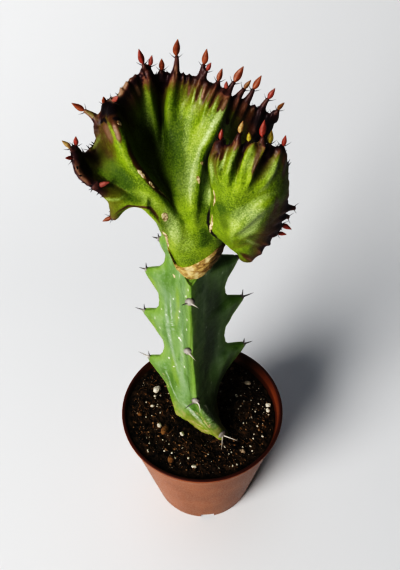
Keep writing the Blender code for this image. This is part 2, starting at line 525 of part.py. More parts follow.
def build_soil(parts, cutters, extras):
    low_z = POT_FLOOR_Z + POT_FLOOR_THICK + SOIL_CLEARANCE
    shy = SOIL_CLEARANCE + 0.3
    rings = (5, 10, 15, 20, 25, 30, 35, SOIL_REACH)
    profile = [(0.0, SOIL_MEAN_Z)] + [(r, SOIL_MEAN_Z) for r in rings]
    profile += [(SOIL_REACH, SOIL_MEAN_Z - 5.0), (pot_inside(low_z) - shy, low_z), (0.0, low_z)]
    soil = turned("potting_soil", profile, 36, parts)
    apply_all(soil)
    for vert in soil.data.vertices:
        x, y, z = (c / MM for c in vert.co)
        r = math.hypot(x, y)
        if z > SOIL_MEAN_Z - 0.5:
            z = soil_height(x, y) if r < SOIL_REACH - 1.0 else soil_edge(x, y)
        elif z > SOIL_MEAN_Z - 6.0:
            z = min(POT_COLLAR_Z - 0.8, soil_edge(x, y) - 1.5)
        if r > SOIL_REACH - 1.0:
            turn = (pot_inside(z) - shy) / r
            x, y = x * turn, y * turn
        vert.co = Vector((x, y, z)) * MM
    rng = random.Random(11)
    grains = list(GRAINS)
    while len(grains) < GRAIN_COUNT:
        x, y = rng.uniform(-34, 34), rng.uniform(-34, 34)
        if math.hypot(x, y) < 34 and math.hypot(x - 2, y + 6) > 20:
            grains.append((x, y, rng.uniform(1.8, 3.4)))
    for k, (x, y, size) in enumerate(grains):
        bm = bmesh.new()
        bmesh.ops.create_icosphere(bm, subdivisions=1, radius=1.0)
        turn = Matrix.Rotation(rng.uniform(0, 6.28), 4, Vector((rng.random(), rng.random(), 1)).normalized())
        shape = Matrix.Diagonal((size * 0.55 * MM, size * 0.46 * MM, size * 0.42 * MM, 1.0))
        spot = Matrix.Translation(Vector((x, y, soil_height(x, y) + 0.12 * size)) * MM)
        bmesh.ops.transform(bm, matrix=spot @ turn @ shape, verts=bm.verts)
        object_from_bmesh(f"grain_{k}", bm, extras)
    fuse(soil, extras)
    socket = as_cutter(stock_loft("stem_socket", STOCK_FOOT_Z - 0.4, SOCKET_TOP_Z, SOCKET_GAP, cutters))
    boolean(soil, "DIFFERENCE", socket)
    bpy.data.objects.remove(socket, do_unlink=True)
    triangulate(soil)
    return soil


def graft_prism(name, line, shift, above, collection):
    outline = [(x, z + shift) for x, z in line]
    far = 260.0 if above else 150.0
    return as_cutter(prism_xz(name, outline + [(40.0, far), (-40.0, far)], -40.0, 40.0, collection))


def build_rootstock(parts, cutters, extras):
    stock = stock_loft("rootstock", STOCK_FOOT_Z, STOCK_TOP_Z, 0.0, parts)
    for k, (name, z) in enumerate(STOCK_TEETH):
        reach, bearing = wing(name, z)
        cx, cy = stock_axis(z)
        out = Vector((math.cos(bearing), math.sin(bearing), 0.0))
        side = Vector((-math.sin(bearing), math.cos(bearing), 0.0))
        tip = Vector((cx, cy, z)) + out * (reach - 0.8)
        blend = Vector((0.0, 0.0, 0.8)) + side * 0.55
        if z < FOOT_TOOTH_Z:
            blend = side * 0.7 + Vector((0.0, 0.0, 0.15))
            out.z = 0.5
        add_spine_pair(f"stock_spine_{k}", tip, out, blend, STOCK_SPINE, extras)
    fuse(stock, extras)
    cutter = graft_prism("graft_cut_stock", GRAFT_LOW, -FIT_GAP, True, cutters)
    boolean(stock, "DIFFERENCE", cutter)
    bpy.data.objects.remove(cutter, do_unlink=True)
    triangulate(stock)
    return stock


def build_callus(parts, cutters):
    sections = [(z, cx, cy, rx + CALLUS_PROUD, ry + CALLUS_PROUD) for z, cx, cy, rx, ry in NECK if z < 204.0]
    callus = ellipse_loft("graft_callus", sections, 26, parts, wobble=0.06)
    low = graft_prism("callus_cut_low", GRAFT_LOW, 0.0, False, cutters)
    boolean(callus, "DIFFERENCE", low)
    high = graft_prism("callus_cut_high", GRAFT_HIGH, 0.0, True, cutters)
    boolean(callus, "DIFFERENCE", high)
    for cutter in (low, high):
        bpy.data.objects.remove(cutter, do_unlink=True)
    triangulate(callus)
    return callus


def soften_near_neck(crest):
    """Relaxes the surface far from the margins, where the sheets run into one another."""
    tree = kdtree.KDTree(3 * 60 * 12)
    insets = []
    for fan in FANS.values():
        for i in range(60):
            edge = fan_point(fan, i / 59, 1.0)
            for j in range(12):
                spot = fan_point(fan, i / 59, j / 11)
                tree.insert(spot, len(insets))
                insets.append((spot - edge).length)
    tree.balance()
    group = crest.vertex_groups.new(name="neck")
    for vert in crest.data.vertices:
        inset = insets[tree.find(vert.co / MM)[1]]
        group.add([vert.index], 0.1 + 0.9 * smoothstep(9.0, 17.0, inset), "REPLACE")
    smooth = crest.modifiers.new("Soften", "SMOOTH")
    smooth.vertex_group = group.name
    smooth.factor = 0.5
    smooth.iterations = 10
    apply_all(crest)
    crest.vertex_groups.clear()


def build_crest(parts, cutters, extras):
    crest = ellipse_loft("crest", NECK, 28, parts)
    sheets = [fan_sheet("sheet_main", MAIN_FAN, 150, 36, extras),
              fan_sheet("sheet_left", LEFT_FAN, 110, 32, extras),
              fan_sheet("sheet_right", RIGHT_FAN, 130, 32, extras)]
    bm = bmesh.new()
    for obj in [crest] + sheets:
        bm.from_mesh(obj.data)
    bm.to_mesh(crest.data)
    bm.free()
    for obj in sheets:
        bpy.data.objects.remove(obj, do_unlink=True)
    remesh = crest.modifiers.new("Remesh", "REMESH")
    remesh.mode = "VOXEL"
    remesh.voxel_size = VOXEL * MM
    apply_all(crest)
    soften_near_neck(crest)
    decimate = crest.modifiers.new("Decimate", "DECIMATE")
    decimate.ratio = CREST_TRIANGLES / (2.0 * len(crest.data.polygons))
    apply_all(crest)
    for k, (fan_name, u, finger, blade, lean) in enumerate(FINGERS):
        fan = FANS[fan_name]
        edge = fan_point(fan, u, 1.0)
        inside = fan_point(fan, u, 0.9)
        outward = (edge - inside).normalized()
        way = (Vector(lean).normalized() * 1.6 + outward * 0.5).normalized()
        foot = edge - outward * FINGER_ROOT
        tip = edge + way * finger
        cone(f"finger_{k}", foot, tip, FINGER_R, FINGER_TIP_R, 6, extras)
        if blade:
            facing = Vector((0.25 * math.sin(k * 2.1), -1.0, 0.35 * math.cos(k * 1.7)))
            leaf_blade(f"leaf_{k}", tip - way * 0.6, way, facing, blade, extras)
    for fan_name, fan in FANS.items():
        for k, (u, half, height, begin) in enumerate(fan["folds"]):
            if height < 0.8 or begin < 0.4:
                continue
            edge = fan_point(fan, u, SPINE_SEAT)
            outward = (edge - fan_point(fan, u, 0.9)).normalized()
            along = (fan_point(fan, min(1.0, u + 0.01), 1.0) - fan_point(fan, max(0.0, u - 0.01), 1.0)).normalized()
            add_spine_pair(f"{fan_name}_spine_{k}", edge, outward, along, CREST_SPINE, extras)
    fuse(crest, extras)
    cutter = graft_prism("graft_cut_crest", GRAFT_HIGH, FIT_GAP, False, cutters)
    boolean(crest, "DIFFERENCE", cutter)
    bpy.data.objects.remove(cutter, do_unlink=True)
    triangulate(crest)
    return crest


def keep_largest(obj):
    bm = bmesh.new()
    bm.from_mesh(obj.data)
    seen = set()
    groups = []
    for start in bm.faces:
        if start in seen:
            continue
        stack = [start]
        seen.add(start)
        group = []
        while stack:
            face = stack.pop()
            group.append(face)
            for edge in face.edges:
                for other in edge.link_faces:
                    if other not in seen:
                        seen.add(other)
                        stack.append(other)
        groups.append(group)
    groups.sort(key=len)
    for group in groups[:-1]:
        bmesh.ops.delete(bm, geom=group, context="FACES")
    bm.to_mesh(obj.data)
    bm.free()
    return [len(group) for group in groups]


def main():
    clear_scene()
    parts = bpy.data.collections.new("potted_coral_cactus")
    cutters = bpy.data.collections.new("cutters")
    extras = bpy.data.collections.new("joined_details")
    for collection in (parts, cutters, extras):
        bpy.context.scene.collection.children.link(collection)
    pot = build_pot(parts, cutters)
    soil = build_soil(parts, cutters, extras)
    stock = build_rootstock(parts, cutters, extras)
    callus = build_callus(parts, cutters)
    crest = build_crest(parts, cutters, extras)
    looks = ((pot, "pot_plastic", (0.42, 0.17, 0.10), 0.45), (soil, "soil", (0.03, 0.022, 0.018), 0.95),
             (stock, "rootstock_skin", (0.12, 0.25, 0.08), 0.5), (callus, "callus", (0.45, 0.32, 0.13), 0.8),
             (crest, "crest_skin", (0.22, 0.32, 0.05), 0.5))
    for obj, name, colour, roughness in looks:
        count = keep_largest(obj)
        obj.data.materials.clear()
        obj.data.materials.append(make_material(name, colour, roughness))
        obj.data.shade_smooth()
        obj.data.set_sharp_from_angle(angle=math.radians(35))
        print(obj.name, "triangles", len(obj.data.polygons), "islands before", count)


main()
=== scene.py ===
import json
import math
import random
import bpy
import bmesh
import numpy as np
from mathutils import Matrix, Vector, kdtree, noise

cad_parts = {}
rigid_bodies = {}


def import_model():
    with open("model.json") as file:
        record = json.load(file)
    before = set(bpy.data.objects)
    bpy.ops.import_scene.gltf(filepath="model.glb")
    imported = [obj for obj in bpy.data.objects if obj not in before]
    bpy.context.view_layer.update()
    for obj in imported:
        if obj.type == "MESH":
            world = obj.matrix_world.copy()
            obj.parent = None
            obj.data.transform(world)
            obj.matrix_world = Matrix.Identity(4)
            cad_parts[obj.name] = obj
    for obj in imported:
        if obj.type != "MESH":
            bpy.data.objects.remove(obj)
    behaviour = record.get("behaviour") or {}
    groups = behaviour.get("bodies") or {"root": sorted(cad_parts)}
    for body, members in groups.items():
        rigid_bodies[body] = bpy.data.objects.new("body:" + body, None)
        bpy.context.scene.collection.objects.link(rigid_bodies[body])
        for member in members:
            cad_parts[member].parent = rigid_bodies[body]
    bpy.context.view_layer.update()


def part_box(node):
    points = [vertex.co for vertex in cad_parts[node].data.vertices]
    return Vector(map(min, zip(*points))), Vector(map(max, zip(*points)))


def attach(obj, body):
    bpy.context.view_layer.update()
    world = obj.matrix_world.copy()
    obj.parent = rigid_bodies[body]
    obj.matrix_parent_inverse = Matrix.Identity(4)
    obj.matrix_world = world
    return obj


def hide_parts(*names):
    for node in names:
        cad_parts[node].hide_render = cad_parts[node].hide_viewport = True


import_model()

MM = 0.001
pot_low, pot_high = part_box("pot")
POT_X, POT_Y = ((pot_low[k] + pot_high[k]) / 2 / MM for k in (0, 1))

# Camera: millimetres from the pot's foot, degrees below the horizon.
CAMERA_BACK = 175.5
CAMERA_UP = 347.0
CAMERA_PITCH = 46.0
CAMERA_ROLL = -1.0
CAMERA_LENS = 38.0
CAMERA_SENSOR = 36.0
FRAME_WIDTH, FRAME_HEIGHT = 400, 570
CAMERA_PLACE = (Matrix.Translation(Vector((POT_X, POT_Y - CAMERA_BACK, CAMERA_UP)) * MM)
                @ Matrix.Rotation(math.radians(90.0 - CAMERA_PITCH), 4, "X")
                @ Matrix.Rotation(math.radians(CAMERA_ROLL), 4, "Z"))

# Pot and soil, millimetres.
POT_RIM_R = 42.5
POT_HEIGHT = 72.5
POT_FOOT_R = 28.8
POT_WALL = 1.25
POT_COLLAR_Z = 66.8
POT_COLLAR_R = 40.7
POT_FLOOR_Z = 2.6
POT_FLOOR_TOP = POT_FLOOR_Z + 1.2
NOTCH_WIDTH = 7.8
NOTCH_HEIGHT = 4.6
NOTCH_DEPTH = 9.0
NOTCH_COUNT = 4
DRAIN_COUNT = 6
DRAIN_RING_R = 17.0
DRAIN_R = 3.0
SOIL_MEAN_Z = 67.6
SOIL_TILT = 3.0
SOIL_FALLS_TO = 25.0
SOIL_REACH = 39.0
WALL_SLOPE = (POT_COLLAR_R - POT_FOOT_R) / (POT_COLLAR_Z - 1.0)

# Fineness of the meshes.
CREST_VOXEL, CREST_PASSES, ALL_OVER_PASSES = ((0.48, 40, 3))
STOCK_STEP, STOCK_SPAN = ((0.5, 10))
SOIL_SIDES, SOIL_RINGS = ((320, 110))
CRUMB_COUNT, CHIP_COUNT = ((3600, 190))
FAN_ACROSS = {"main": 300, "left": 240, "right": 300}
FAN_ALONG = 60
NECK_SIDES = 48
LEAF_ROWS, LEAF_COLS = 12, 9
MARGIN_SPINES = 46
CALLUS_SIDES, CALLUS_RINGS, CALLUS_CAP = 300, 30, 6
POT_SIDES = 176

# Lower and upper line of the graft's callus, seen from the front (x, z).
GRAFT_LOW = (
    (-40, 208), (-14.5, 194), (-9, 181), (-6.2, 178.6), (-3.1, 177), (0.8, 179.4), (3.6, 182.2), (6, 184.2),
    (9, 186), (14, 188), (40, 200))
GRAFT_HIGH = (
    (-40, 209.5), (-14.5, 195.5), (-9.2, 182.8), (-6.5, 183), (-3.7, 185), (0.2, 187.7), (3.2, 189.9),
    (6.3, 191.6), (9.1, 192.4), (12.5, 193.6), (13, 172), (40, 165))

# Rootstock: heights, centre line (z, x, y), and each wing's reach and bearing by height.
STOCK_FOOT_Z = 58.0
STOCK_TOP_Z = 200.0
FOOT_BLUNT = 1.9
AREOLE_SWELL = 0.5
# The middle one of the front wing sits beside the edge.
AREOLE_ASIDE = {140: -1.5}
STOCK_AXIS = (
    (57, 3, -6.5), (68, 2.5, -6), (80, 0, -4), (95, -1, -2), (110, -2, -1), (130, -2.5, 0), (155, -2.5, 0.5),
    (204, -2, 1))
WINGS = {
    "right": ((
        (57, 9), (75.5, 8.6), (89.8, 11.6), (96.5, 15), (102, 19), (110, 25), (112.7, 26.2), (114.2, 24.2),
        (116.6, 17.6), (119.5, 15.6), (125, 14.8), (131, 15.6), (138.5, 19.2), (144, 23.2), (146.6, 24.4),
        (148, 22.4), (150.4, 16.6), (153, 14.8), (157.4, 14.2), (162, 15.4), (168, 18.6), (172.5, 20.8),
        (174.2, 18.4), (176.6, 12.6), (180.5, 9.6), (187, 8.6), (204, 8.2)), (
        (57, 45), (75, 40), (95, 28), (112, 25), (204, 24))),
    "left": ((
        (57, 12.5), (66.6, 15), (71, 16.5), (81, 17), (89, 19), (99.5, 26), (103.5, 27.6), (105, 25.8),
        (107.5, 20.8), (111, 18.4), (116, 17.2), (121, 17.6), (129, 21.6), (134, 25), (137.5, 26.6),
        (138.8, 24.8), (141.2, 19.6), (144, 17.8), (148.5, 17), (153, 17.8), (160, 21.2), (165, 23.4),
        (166.4, 21.6), (169, 16.2), (173, 13.8), (178, 12.8), (183, 15.4), (185, 16.2), (187, 14.2),
        (204, 12.4)), (
        (57, 172), (70, 168), (90, 158), (105, 155), (204, 155))),
    "front": ((
        (57, 11.5), (66, 13.6), (70, 14.6), (72.5, 13.4), (85, 12.2), (99, 15.2), (104.3, 16.8),
        (106.3, 15.4), (118, 13.4), (136, 15.8), (140, 16.8), (142.5, 15.2), (154, 13), (167, 15),
        (170, 15.6), (172.5, 14), (180, 12.4), (204, 11)), (
        (57, -46), (70, -50), (85, -78), (102, -95), (204, -98))),
}

# Crest fans, millimetres. Each station lists four points (x, y, z) from the margin down to the neck;
# the root line is where the sheet enters the neck. Folds: place along the margin, half width, height
# towards the front, and how far up the sheet they begin. Bands: place, width of the black rim,
# width of the brown band behind it.
MAIN_FAN = {
    "root": ((-10, 1, 180), (7, 1, 184)),
    "stations": (
        -29.5, 5, 245.5, -24.5, 8, 235, -20, 5, 224.5, -13.5, 0, 213,
        -24.5, 7, 250.5, -21, 12, 237, -17.5, 8, 224.5, -11.5, -1, 213,
        -20.5, 10, 253, -18.5, 14, 238, -15.5, 9, 226, -10.5, -2, 214,
        -17, 12, 253.5, -16.5, 15, 238.5, -13, 8.5, 226.5, -9, -3, 215.5,
        -12, 15, 252, -12.5, 16.5, 237.5, -11, 8, 227.5, -7.5, -4.5, 216,
        -7, 14.5, 252, -8.5, 13.5, 240, -8.5, 6, 228.5, -6, -5.5, 216.5,
        -3, 14.5, 251.5, -5, 13, 240, -6, 4.5, 229, -5, -6, 216,
        1.5, 14, 250.5, -1.5, 11, 240.5, -3.5, 3, 229.5, -3.5, -6.5, 215,
        5.5, 13, 248.5, 2, 8, 240, -1.5, 1.5, 229.5, -2.5, -7, 213.5,
        10, 12, 245.5, 5.5, 5, 238, 0, 0, 228.5, -2, -7.5, 212,
        14, 13, 243.5, 9, 7.5, 234, 3.5, 1, 224, -0.5, -6.5, 210,
        18.5, 14, 240.5, 13.5, 10.5, 231, 8, 1.5, 220.5, 1.5, -6, 208.5,
        23, 14, 238, 19.5, 13, 227, 12.5, 4, 217.5, 3.5, -4, 206,
        28, 12, 237.5, 25, 13, 224.5, 18.5, 9, 212.5, 6, 0, 201),
    "folds": (
        (0.1, 0.03, 0.8, 0.55), (0.154, 0.018, 0.8, 0.75), (0.231, 0.034, 2, 0.35),
        (0.308, 0.028, -1.2, 0.4), (0.385, 0.024, 1.7, 0.45), (0.44, 0.012, 0.7, 0.8),
        (0.48, 0.012, 0.7, 0.8), (0.54, 0.017, 1.1, 0.62), (0.585, 0.013, 1, 0.72), (0.63, 0.013, 1.2, 0.55),
        (0.664, 0.011, 1, 0.62), (0.697, 0.022, 1.6, 0.12), (0.765, 0.016, 1.1, 0.7),
        (0.82, 0.016, 1.1, 0.7), (0.87, 0.014, 0.9, 0.8), (0.915, 0.018, 1.5, 0.6), (0.97, 0.015, 1, 0.7)),
    "bands": (
        (0, 4, 9), (0.15, 4, 10), (0.23, 1.2, 5), (0.31, 6, 10), (0.385, 1.2, 4.5), (0.45, 2, 5),
        (0.6, 1.6, 6.5), (0.7, 0.8, 5), (0.77, 1, 7), (0.85, 1.4, 8), (0.9, 6, 13), (1, 9, 15)),
    "thick": (9.5, 7.5, 5.4, 4, 2.8),
}
LEFT_FAN = {
    "root": ((-12.5, -4, 196.5), (-5.5, -6.5, 202.5)),
    "stations": (
        -14, -2, 207, -13.5, -3, 206.5, -12.5, -4, 204.5, -12, -4, 201.5,
        -19, -5, 213, -17.5, -6, 213.5, -15.5, -7, 212.5, -13, -6.5, 207.5,
        -25, -8, 215, -23, -9, 216, -19.5, -9.5, 216, -14.5, -8.5, 211.5,
        -30.5, -10, 211, -27.5, -11.5, 216, -23, -11.5, 218.5, -15.5, -9.5, 213,
        -31, -11.5, 220, -29.5, -12.5, 221, -24, -10.5, 220.5, -14.5, -10, 215,
        -35.5, -12, 225, -34, -11, 225, -29, -8, 222.5, -16, -10, 216.5,
        -40, -11, 231, -37.5, -9, 229, -31.5, -6, 224, -17, -10, 218,
        -39.5, -9, 238, -38, -7, 232, -32, -5, 226.5, -19, -10, 219.5,
        -38, -1, 232, -35, -2, 229.5, -30.5, -5, 228, -19.5, -10, 221,
        -34.5, 2, 235.5, -33, 0, 232, -28.5, -5, 229.5, -19, -10, 221.5,
        -33.5, 4, 242.5, -30.5, 0, 237, -26, -5.5, 231.5, -18, -10, 223,
        -29, 8, 246, -26, -3.5, 243, -22.5, -8, 234, -15.5, -10.5, 223.5,
        -25, 9, 247.5, -24, 9, 234.5, -20, 5, 224, -13, -1, 215.5),
    "folds": (
        (0.25, 0.03, 0.8, 0.6), (0.69, 0.018, 0.9, 0.7), (0.79, 0.02, 0.8, 0.75), (0.917, 0.022, 0.8, 0.05)),
    "bands": (
        (0, -4, -3), (0.1, -1, 1), (0.25, 0.5, 3), (0.32, -0.5, 1.5), (0.4, 1.5, 4), (0.5, 3, 5.5),
        (0.58, 3.5, 6), (0.67, 1.5, 4.5), (0.75, 1, 4), (0.85, 3, 6), (0.917, 5, 7.5), (1, 9, 10.5)),
    "thick": (5.2, 4.6, 4.2, 3.4, 2.6),
}
RIGHT_FAN = {
    "root": ((4.5, -6, 201.5), (14, -7, 192)),
    "stations": (
        8.5, -4, 239, 6, -3, 230.5, 6, -4, 222, 6, -5, 212,
        7.5, -10, 242, 4.5, -10, 234.5, 5.5, -9.5, 225, 6.5, -8.5, 214.5,
        6.5, -13, 243, 5, -14, 236, 6.5, -13.5, 227, 7, -11, 216,
        8.5, -13, 241.5, 6.5, -15, 236.5, 8.5, -15.5, 228, 8, -13, 217,
        12.5, -14, 243.5, 10, -16, 237, 10, -17, 229, 9, -14, 216.5,
        15, -13, 242, 13.5, -15.5, 236, 11.5, -17.5, 228.5, 9.5, -15, 216,
        18.5, -14, 242.5, 16, -16.5, 237, 14, -18, 228.5, 10, -15.5, 215.5,
        22, -12.5, 240.5, 19.5, -16, 235.5, 16, -18, 227.5, 10.5, -16, 214.5,
        26.5, -11, 239, 24, -14.5, 232, 19, -17.5, 226, 11.5, -16, 213.5,
        29.5, -9, 232, 27, -13, 227.5, 20.5, -17.5, 223.5, 12.5, -16, 212,
        30, -8.5, 221, 26, -13.5, 222.5, 20.5, -18, 221.5, 13, -16.5, 210.5,
        31.5, -7, 213, 27, -12.5, 215, 20.5, -17, 216, 13.5, -15, 207.5,
        30, -7.5, 208, 25.5, -12.5, 210, 20, -16.5, 212, 14, -14.5, 205.5,
        28.5, -8, 201.5, 24.5, -12.5, 205, 19.5, -15.5, 208.5, 14, -14, 204,
        26.5, -8.5, 197.5, 23, -11.5, 201.5, 19, -14, 205.5, 14.5, -13, 201.5,
        23.5, -8.5, 193, 21, -11, 197.5, 18, -13, 201.5, 14.5, -12, 199,
        19.5, -8, 186, 18.5, -10, 191, 16.5, -12, 196.5, 14.5, -11, 196.5,
        15.5, -6, 186, 15, -8, 189.5, 14.5, -9, 192.5, 14, -9, 193.5),
    "folds": (
        (0.118, 0.02, 0.5, 0.5), (0.15, 0.012, -1.2, 0.5), (0.185, 0.014, 1.2, 0.4),
        (0.235, 0.014, 1.4, 0.35), (0.285, 0.018, -1.3, 0.45), (0.335, 0.016, 1.2, 0.35),
        (0.378, 0.012, 1.6, 0.4), (0.418, 0.018, -1.4, 0.45), (0.455, 0.014, 1.2, 0.45),
        (0.49, 0.014, 0.7, 0.65), (0.588, 0.03, 0.9, 0.1), (0.66, 0.013, 1, 0.7), (0.705, 0.013, 1.1, 0.7),
        (0.745, 0.013, 0.9, 0.7), (0.79, 0.014, -0.8, 0.55), (0.84, 0.014, 0.8, 0.6),
        (0.89, 0.014, 0.9, 0.6)),
    "bands": (
        (0, -0.5, 2), (0.059, -0.3, 3), (0.118, 0.2, 5), (0.15, 2, 5), (0.235, -0.6, 3), (0.29, 2.5, 5),
        (0.34, -1, 1), (0.375, 0, 4), (0.412, 3.5, 7), (0.47, 0.5, 3.5), (0.53, 0, 2), (0.588, 0.2, 2.5),
        (0.64, 3, 8), (0.7, 4, 10), (0.765, 4.5, 11), (0.82, 3, 8), (0.87, 3, 9), (0.94, 1, 3), (1, 0.5, 1)),
    "thick": (6, 6, 5, 3.8, 2.6),
}
FANS = {"main": MAIN_FAN, "left": LEFT_FAN, "right": RIGHT_FAN}

# Fingers: fan, place along the margin, length, leaf length, lean (x, y, z), leaf tone.
FINGERS = [(name, *row) for name, rows in (
    ("main", (
        (0.03, 0.6, 4.2, (0.9, -0.6, 0.5), 4), (0.235, 3.4, 5, (-0.2, 0, 1), 1),
        (0.25, 2.6, 3.6, (0.35, 0.1, 1), 1), (0.315, 1, 4.4, (0.05, 0, 1), 0),
        (0.385, 6.2, 5.8, (0.08, 0, 1), 0), (0.54, 4.8, 5.2, (0.16, 0, 1), 0),
        (0.55, 3.6, 3.2, (0.5, -0.4, 1), 1), (0.635, 2.2, 4.4, (0.3, 0, 1), 0),
        (0.68, 1.6, 3.4, (0.1, -0.4, 1), 4), (0.7, 5, 6, (0.55, 0, 1), 0), (0.765, 4, 3.6, (0.8, 0, 0.9), 5),
        (0.82, 5.2, 5.2, (0.5, 0, 1), 0), (0.915, 4.8, 4.4, (0.6, 0, 1), 1),
        (0.985, 2, 4, (0.5, -0.2, 0.9), 5))),
    ("left", (
        (0.57, 2.6, 4.2, (-0.6, -0.2, 1), 2), (0.59, 2.2, 3.8, (0.3, -0.2, 1), 1),
        (0.55, 0.8, 2.8, (-0.6, -0.6, 0.2), 1), (0.25, 0.8, 3.4, (-0.9, -0.3, -0.1), 0),
        (0.83, 4.6, 4.6, (-1, 0, 0.45), 0), (0.89, 0.4, 3.6, (0.1, -0.6, 0.9), 0),
        (0.42, 2.4, 4.4, (1, 0.3, 0.25), 4))),
    ("right", (
        (0.14, 1.4, 3.6, (0.1, 0.1, 1), 1), (0.235, 3, 4.2, (0.15, 0.1, 1), 2), (0.31, 1, 3, (0, 0.3, 1), 3),
        (0.375, 2.8, 5.6, (0, 0.1, 1), 1), (0.42, 1.2, 4.2, (0.1, 0.3, 1), 3),
        (0.48, 1.4, 3.6, (0.1, 0, 1), 1), (0.66, 3.4, 0, (0.95, -0.1, -0.2), 0),
        (0.705, 3, 0, (0.95, -0.2, -0.3), 1), (0.735, 1.4, 4.4, (0.8, -0.2, -0.5), 1),
        (0.775, 1, 3.4, (0.9, -0.3, 0), 1)))) for row in rows]
# Leaf tones: 0 orange, 1 red, 2 tan, 3 yellow, 4 pink, 5 ochre.
LEAF_TONES = (
    (0.25, 0.075, 0.028), (0.27, 0.05, 0.035), (0.48, 0.34, 0.13), (0.5, 0.44, 0.06), (0.32, 0.105, 0.085),
    (0.2, 0.1, 0.025))
YELLOW = 3


# Mesh helpers

def link(obj):
    bpy.context.scene.collection.objects.link(obj)
    return obj


def assign(thing, **settings):
    for key, value in settings.items():
        setattr(thing, key, value)


def new_object(name, points, faces):
    """A smooth mesh from points in millimetres."""
    mesh = bpy.data.meshes.new(name)
    mesh.from_pydata((np.asarray(points, float) * MM).tolist(), [], [tuple(f) for f in faces])
    mesh.validate()
    mesh.shade_smooth()
    return link(bpy.data.objects.new(name, mesh))


def modify(obj, kind, **settings):
    """Adds one modifier and applies it."""
    assign(obj.modifiers.new(kind, kind), **settings)
    graph = bpy.context.evaluated_depsgraph_get()
    mesh = bpy.data.meshes.new_from_object(obj.evaluated_get(graph))
    obj.modifiers.clear()
    obj.data = mesh


def paint(obj, name, values):
    """Stores a value, or a colour, at every vertex."""
    values = np.asarray(values, dtype=np.float32)
    if values.ndim == 1:
        obj.data.attributes.new(name, "FLOAT", "POINT").data.foreach_set("value", values)
    else:
        rgba = np.column_stack([values, np.ones(len(values), np.float32)])
        obj.data.attributes.new(name, "FLOAT_COLOR", "POINT").data.foreach_set("color", rgba.ravel())


def coords(obj):
    flat = np.empty(len(obj.data.vertices) * 3, dtype=np.float32)
    obj.data.vertices.foreach_get("co", flat)
    return flat.reshape(-1, 3).astype(float) / MM


def spokes(count):
    return [(math.cos(2 * math.pi * k / count), math.sin(2 * math.pi * k / count)) for k in range(count)]


def tube_faces(rings, sides):
    faces = [(a + k, a + (k + 1) % sides, a + sides + (k + 1) % sides, a + sides + k)
             for a in range(0, (rings - 1) * sides, sides) for k in range(sides)]
    return faces + [range(sides)[::-1], range((rings - 1) * sides, rings * sides)]


def shell_faces(rows, cols):
    """Faces of a front and a back grid, joined along their edges."""
    front, back = np.arange(2 * rows * cols).reshape(2, rows, cols)
    faces = []
    for turned, pairs in enumerate((
            ((front[:, :-1], front[:, 1:]), (front[:, -1], back[:, -1]), (front[0], back[0])),
            ((back[:, :-1], back[:, 1:]), (front[:, 0], back[:, 0]), (front[-1], back[-1])))):
        for a, b in pairs:
            corners = (a[:-1], b[:-1], b[1:], a[1:]) if turned else (a[:-1], a[1:], b[1:], b[:-1])
            faces.append(np.stack(corners, axis=-1).reshape(-1, 4))
    return np.concatenate(faces)


def tree_of(points):
    tree = kdtree.KDTree(len(points))
    for i, p in enumerate(points):
        tree.insert(p, i)
    tree.balance()
    return tree


class Gather:
    """Collects the vertices and faces of many small shapes into one mesh."""

    def __init__(self):
        self.verts, self.faces, self.notes = [], [], []

    def add(self, verts, faces, notes=0.0):
        start = len(self.verts)
        self.verts.extend(verts)
        self.faces.extend(tuple(int(i) + start for i in f) for f in faces)
        self.notes.extend(notes if isinstance(notes, list) else [notes] * len(verts))

    def sweep(self, path, radii, sides, notes=None, flat=1.0):
        path = [Vector(p) for p in path]
        verts, side = [], None
        for i, p in enumerate(path):
            ahead = (path[min(i + 1, len(path) - 1)] - path[max(i - 1, 0)]).normalized()
            side = side or ahead.orthogonal().normalized()
            side = (side - ahead * side.dot(ahead)).normalized()
            other = ahead.cross(side)
            verts += [tuple(p + (side * c + other * s * flat) * radii[i]) for c, s in spokes(sides)]
        notes = [n for n in notes for _ in range(sides)] if notes else 0.0
        self.add(verts, tube_faces(len(path), sides), notes)

    def build(self, name, tone=True):
        obj = new_object(name, self.verts, self.faces)
        if tone:
            paint(obj, "tone", self.notes)
        return obj


def smoothstep(a, b, x):
    t = np.clip((np.asarray(x, float) - a) / (b - a), 0.0, 1.0)
    return t * t * (3 - 2 * t)


def table(rows, place, column=1):
    return np.interp(place, [r[0] for r in rows], [r[column] for r in rows])


def soft_table(rows, z, spread):
    steps = np.linspace(-2, 2, 9)
    weights = np.exp(-steps ** 2)
    return float(sum(w * table(rows, z + s * spread) for w, s in zip(weights, steps)) / weights.sum())


def spline(p0, p1, p2, p3, f):
    """A point between p1 and p2 of four that follow each other."""
    return 0.5 * (2 * p1 + (p2 - p0) * f + (2 * p0 - 5 * p1 + 4 * p2 - p3) * f ** 2
                  + (3 * p1 - p0 - 3 * p2 + p3) * f ** 3)


def lumps(points, scale, octaves, seed):
    shift = Vector((seed, seed * 1.7, seed * 0.3))
    return np.array([noise.fractal(Vector(p) * scale + shift, 1.0, 2.0, octaves) for p in points])


def sight(px, py):
    """Start and direction of the camera's ray through a pixel of the frame."""
    way = Vector(((px - FRAME_WIDTH / 2) / FRAME_HEIGHT * CAMERA_SENSOR,
                  (FRAME_HEIGHT / 2 - py) / FRAME_HEIGHT * CAMERA_SENSOR, -CAMERA_LENS))
    return CAMERA_PLACE.translation, (CAMERA_PLACE.to_3x3() @ way).normalized()


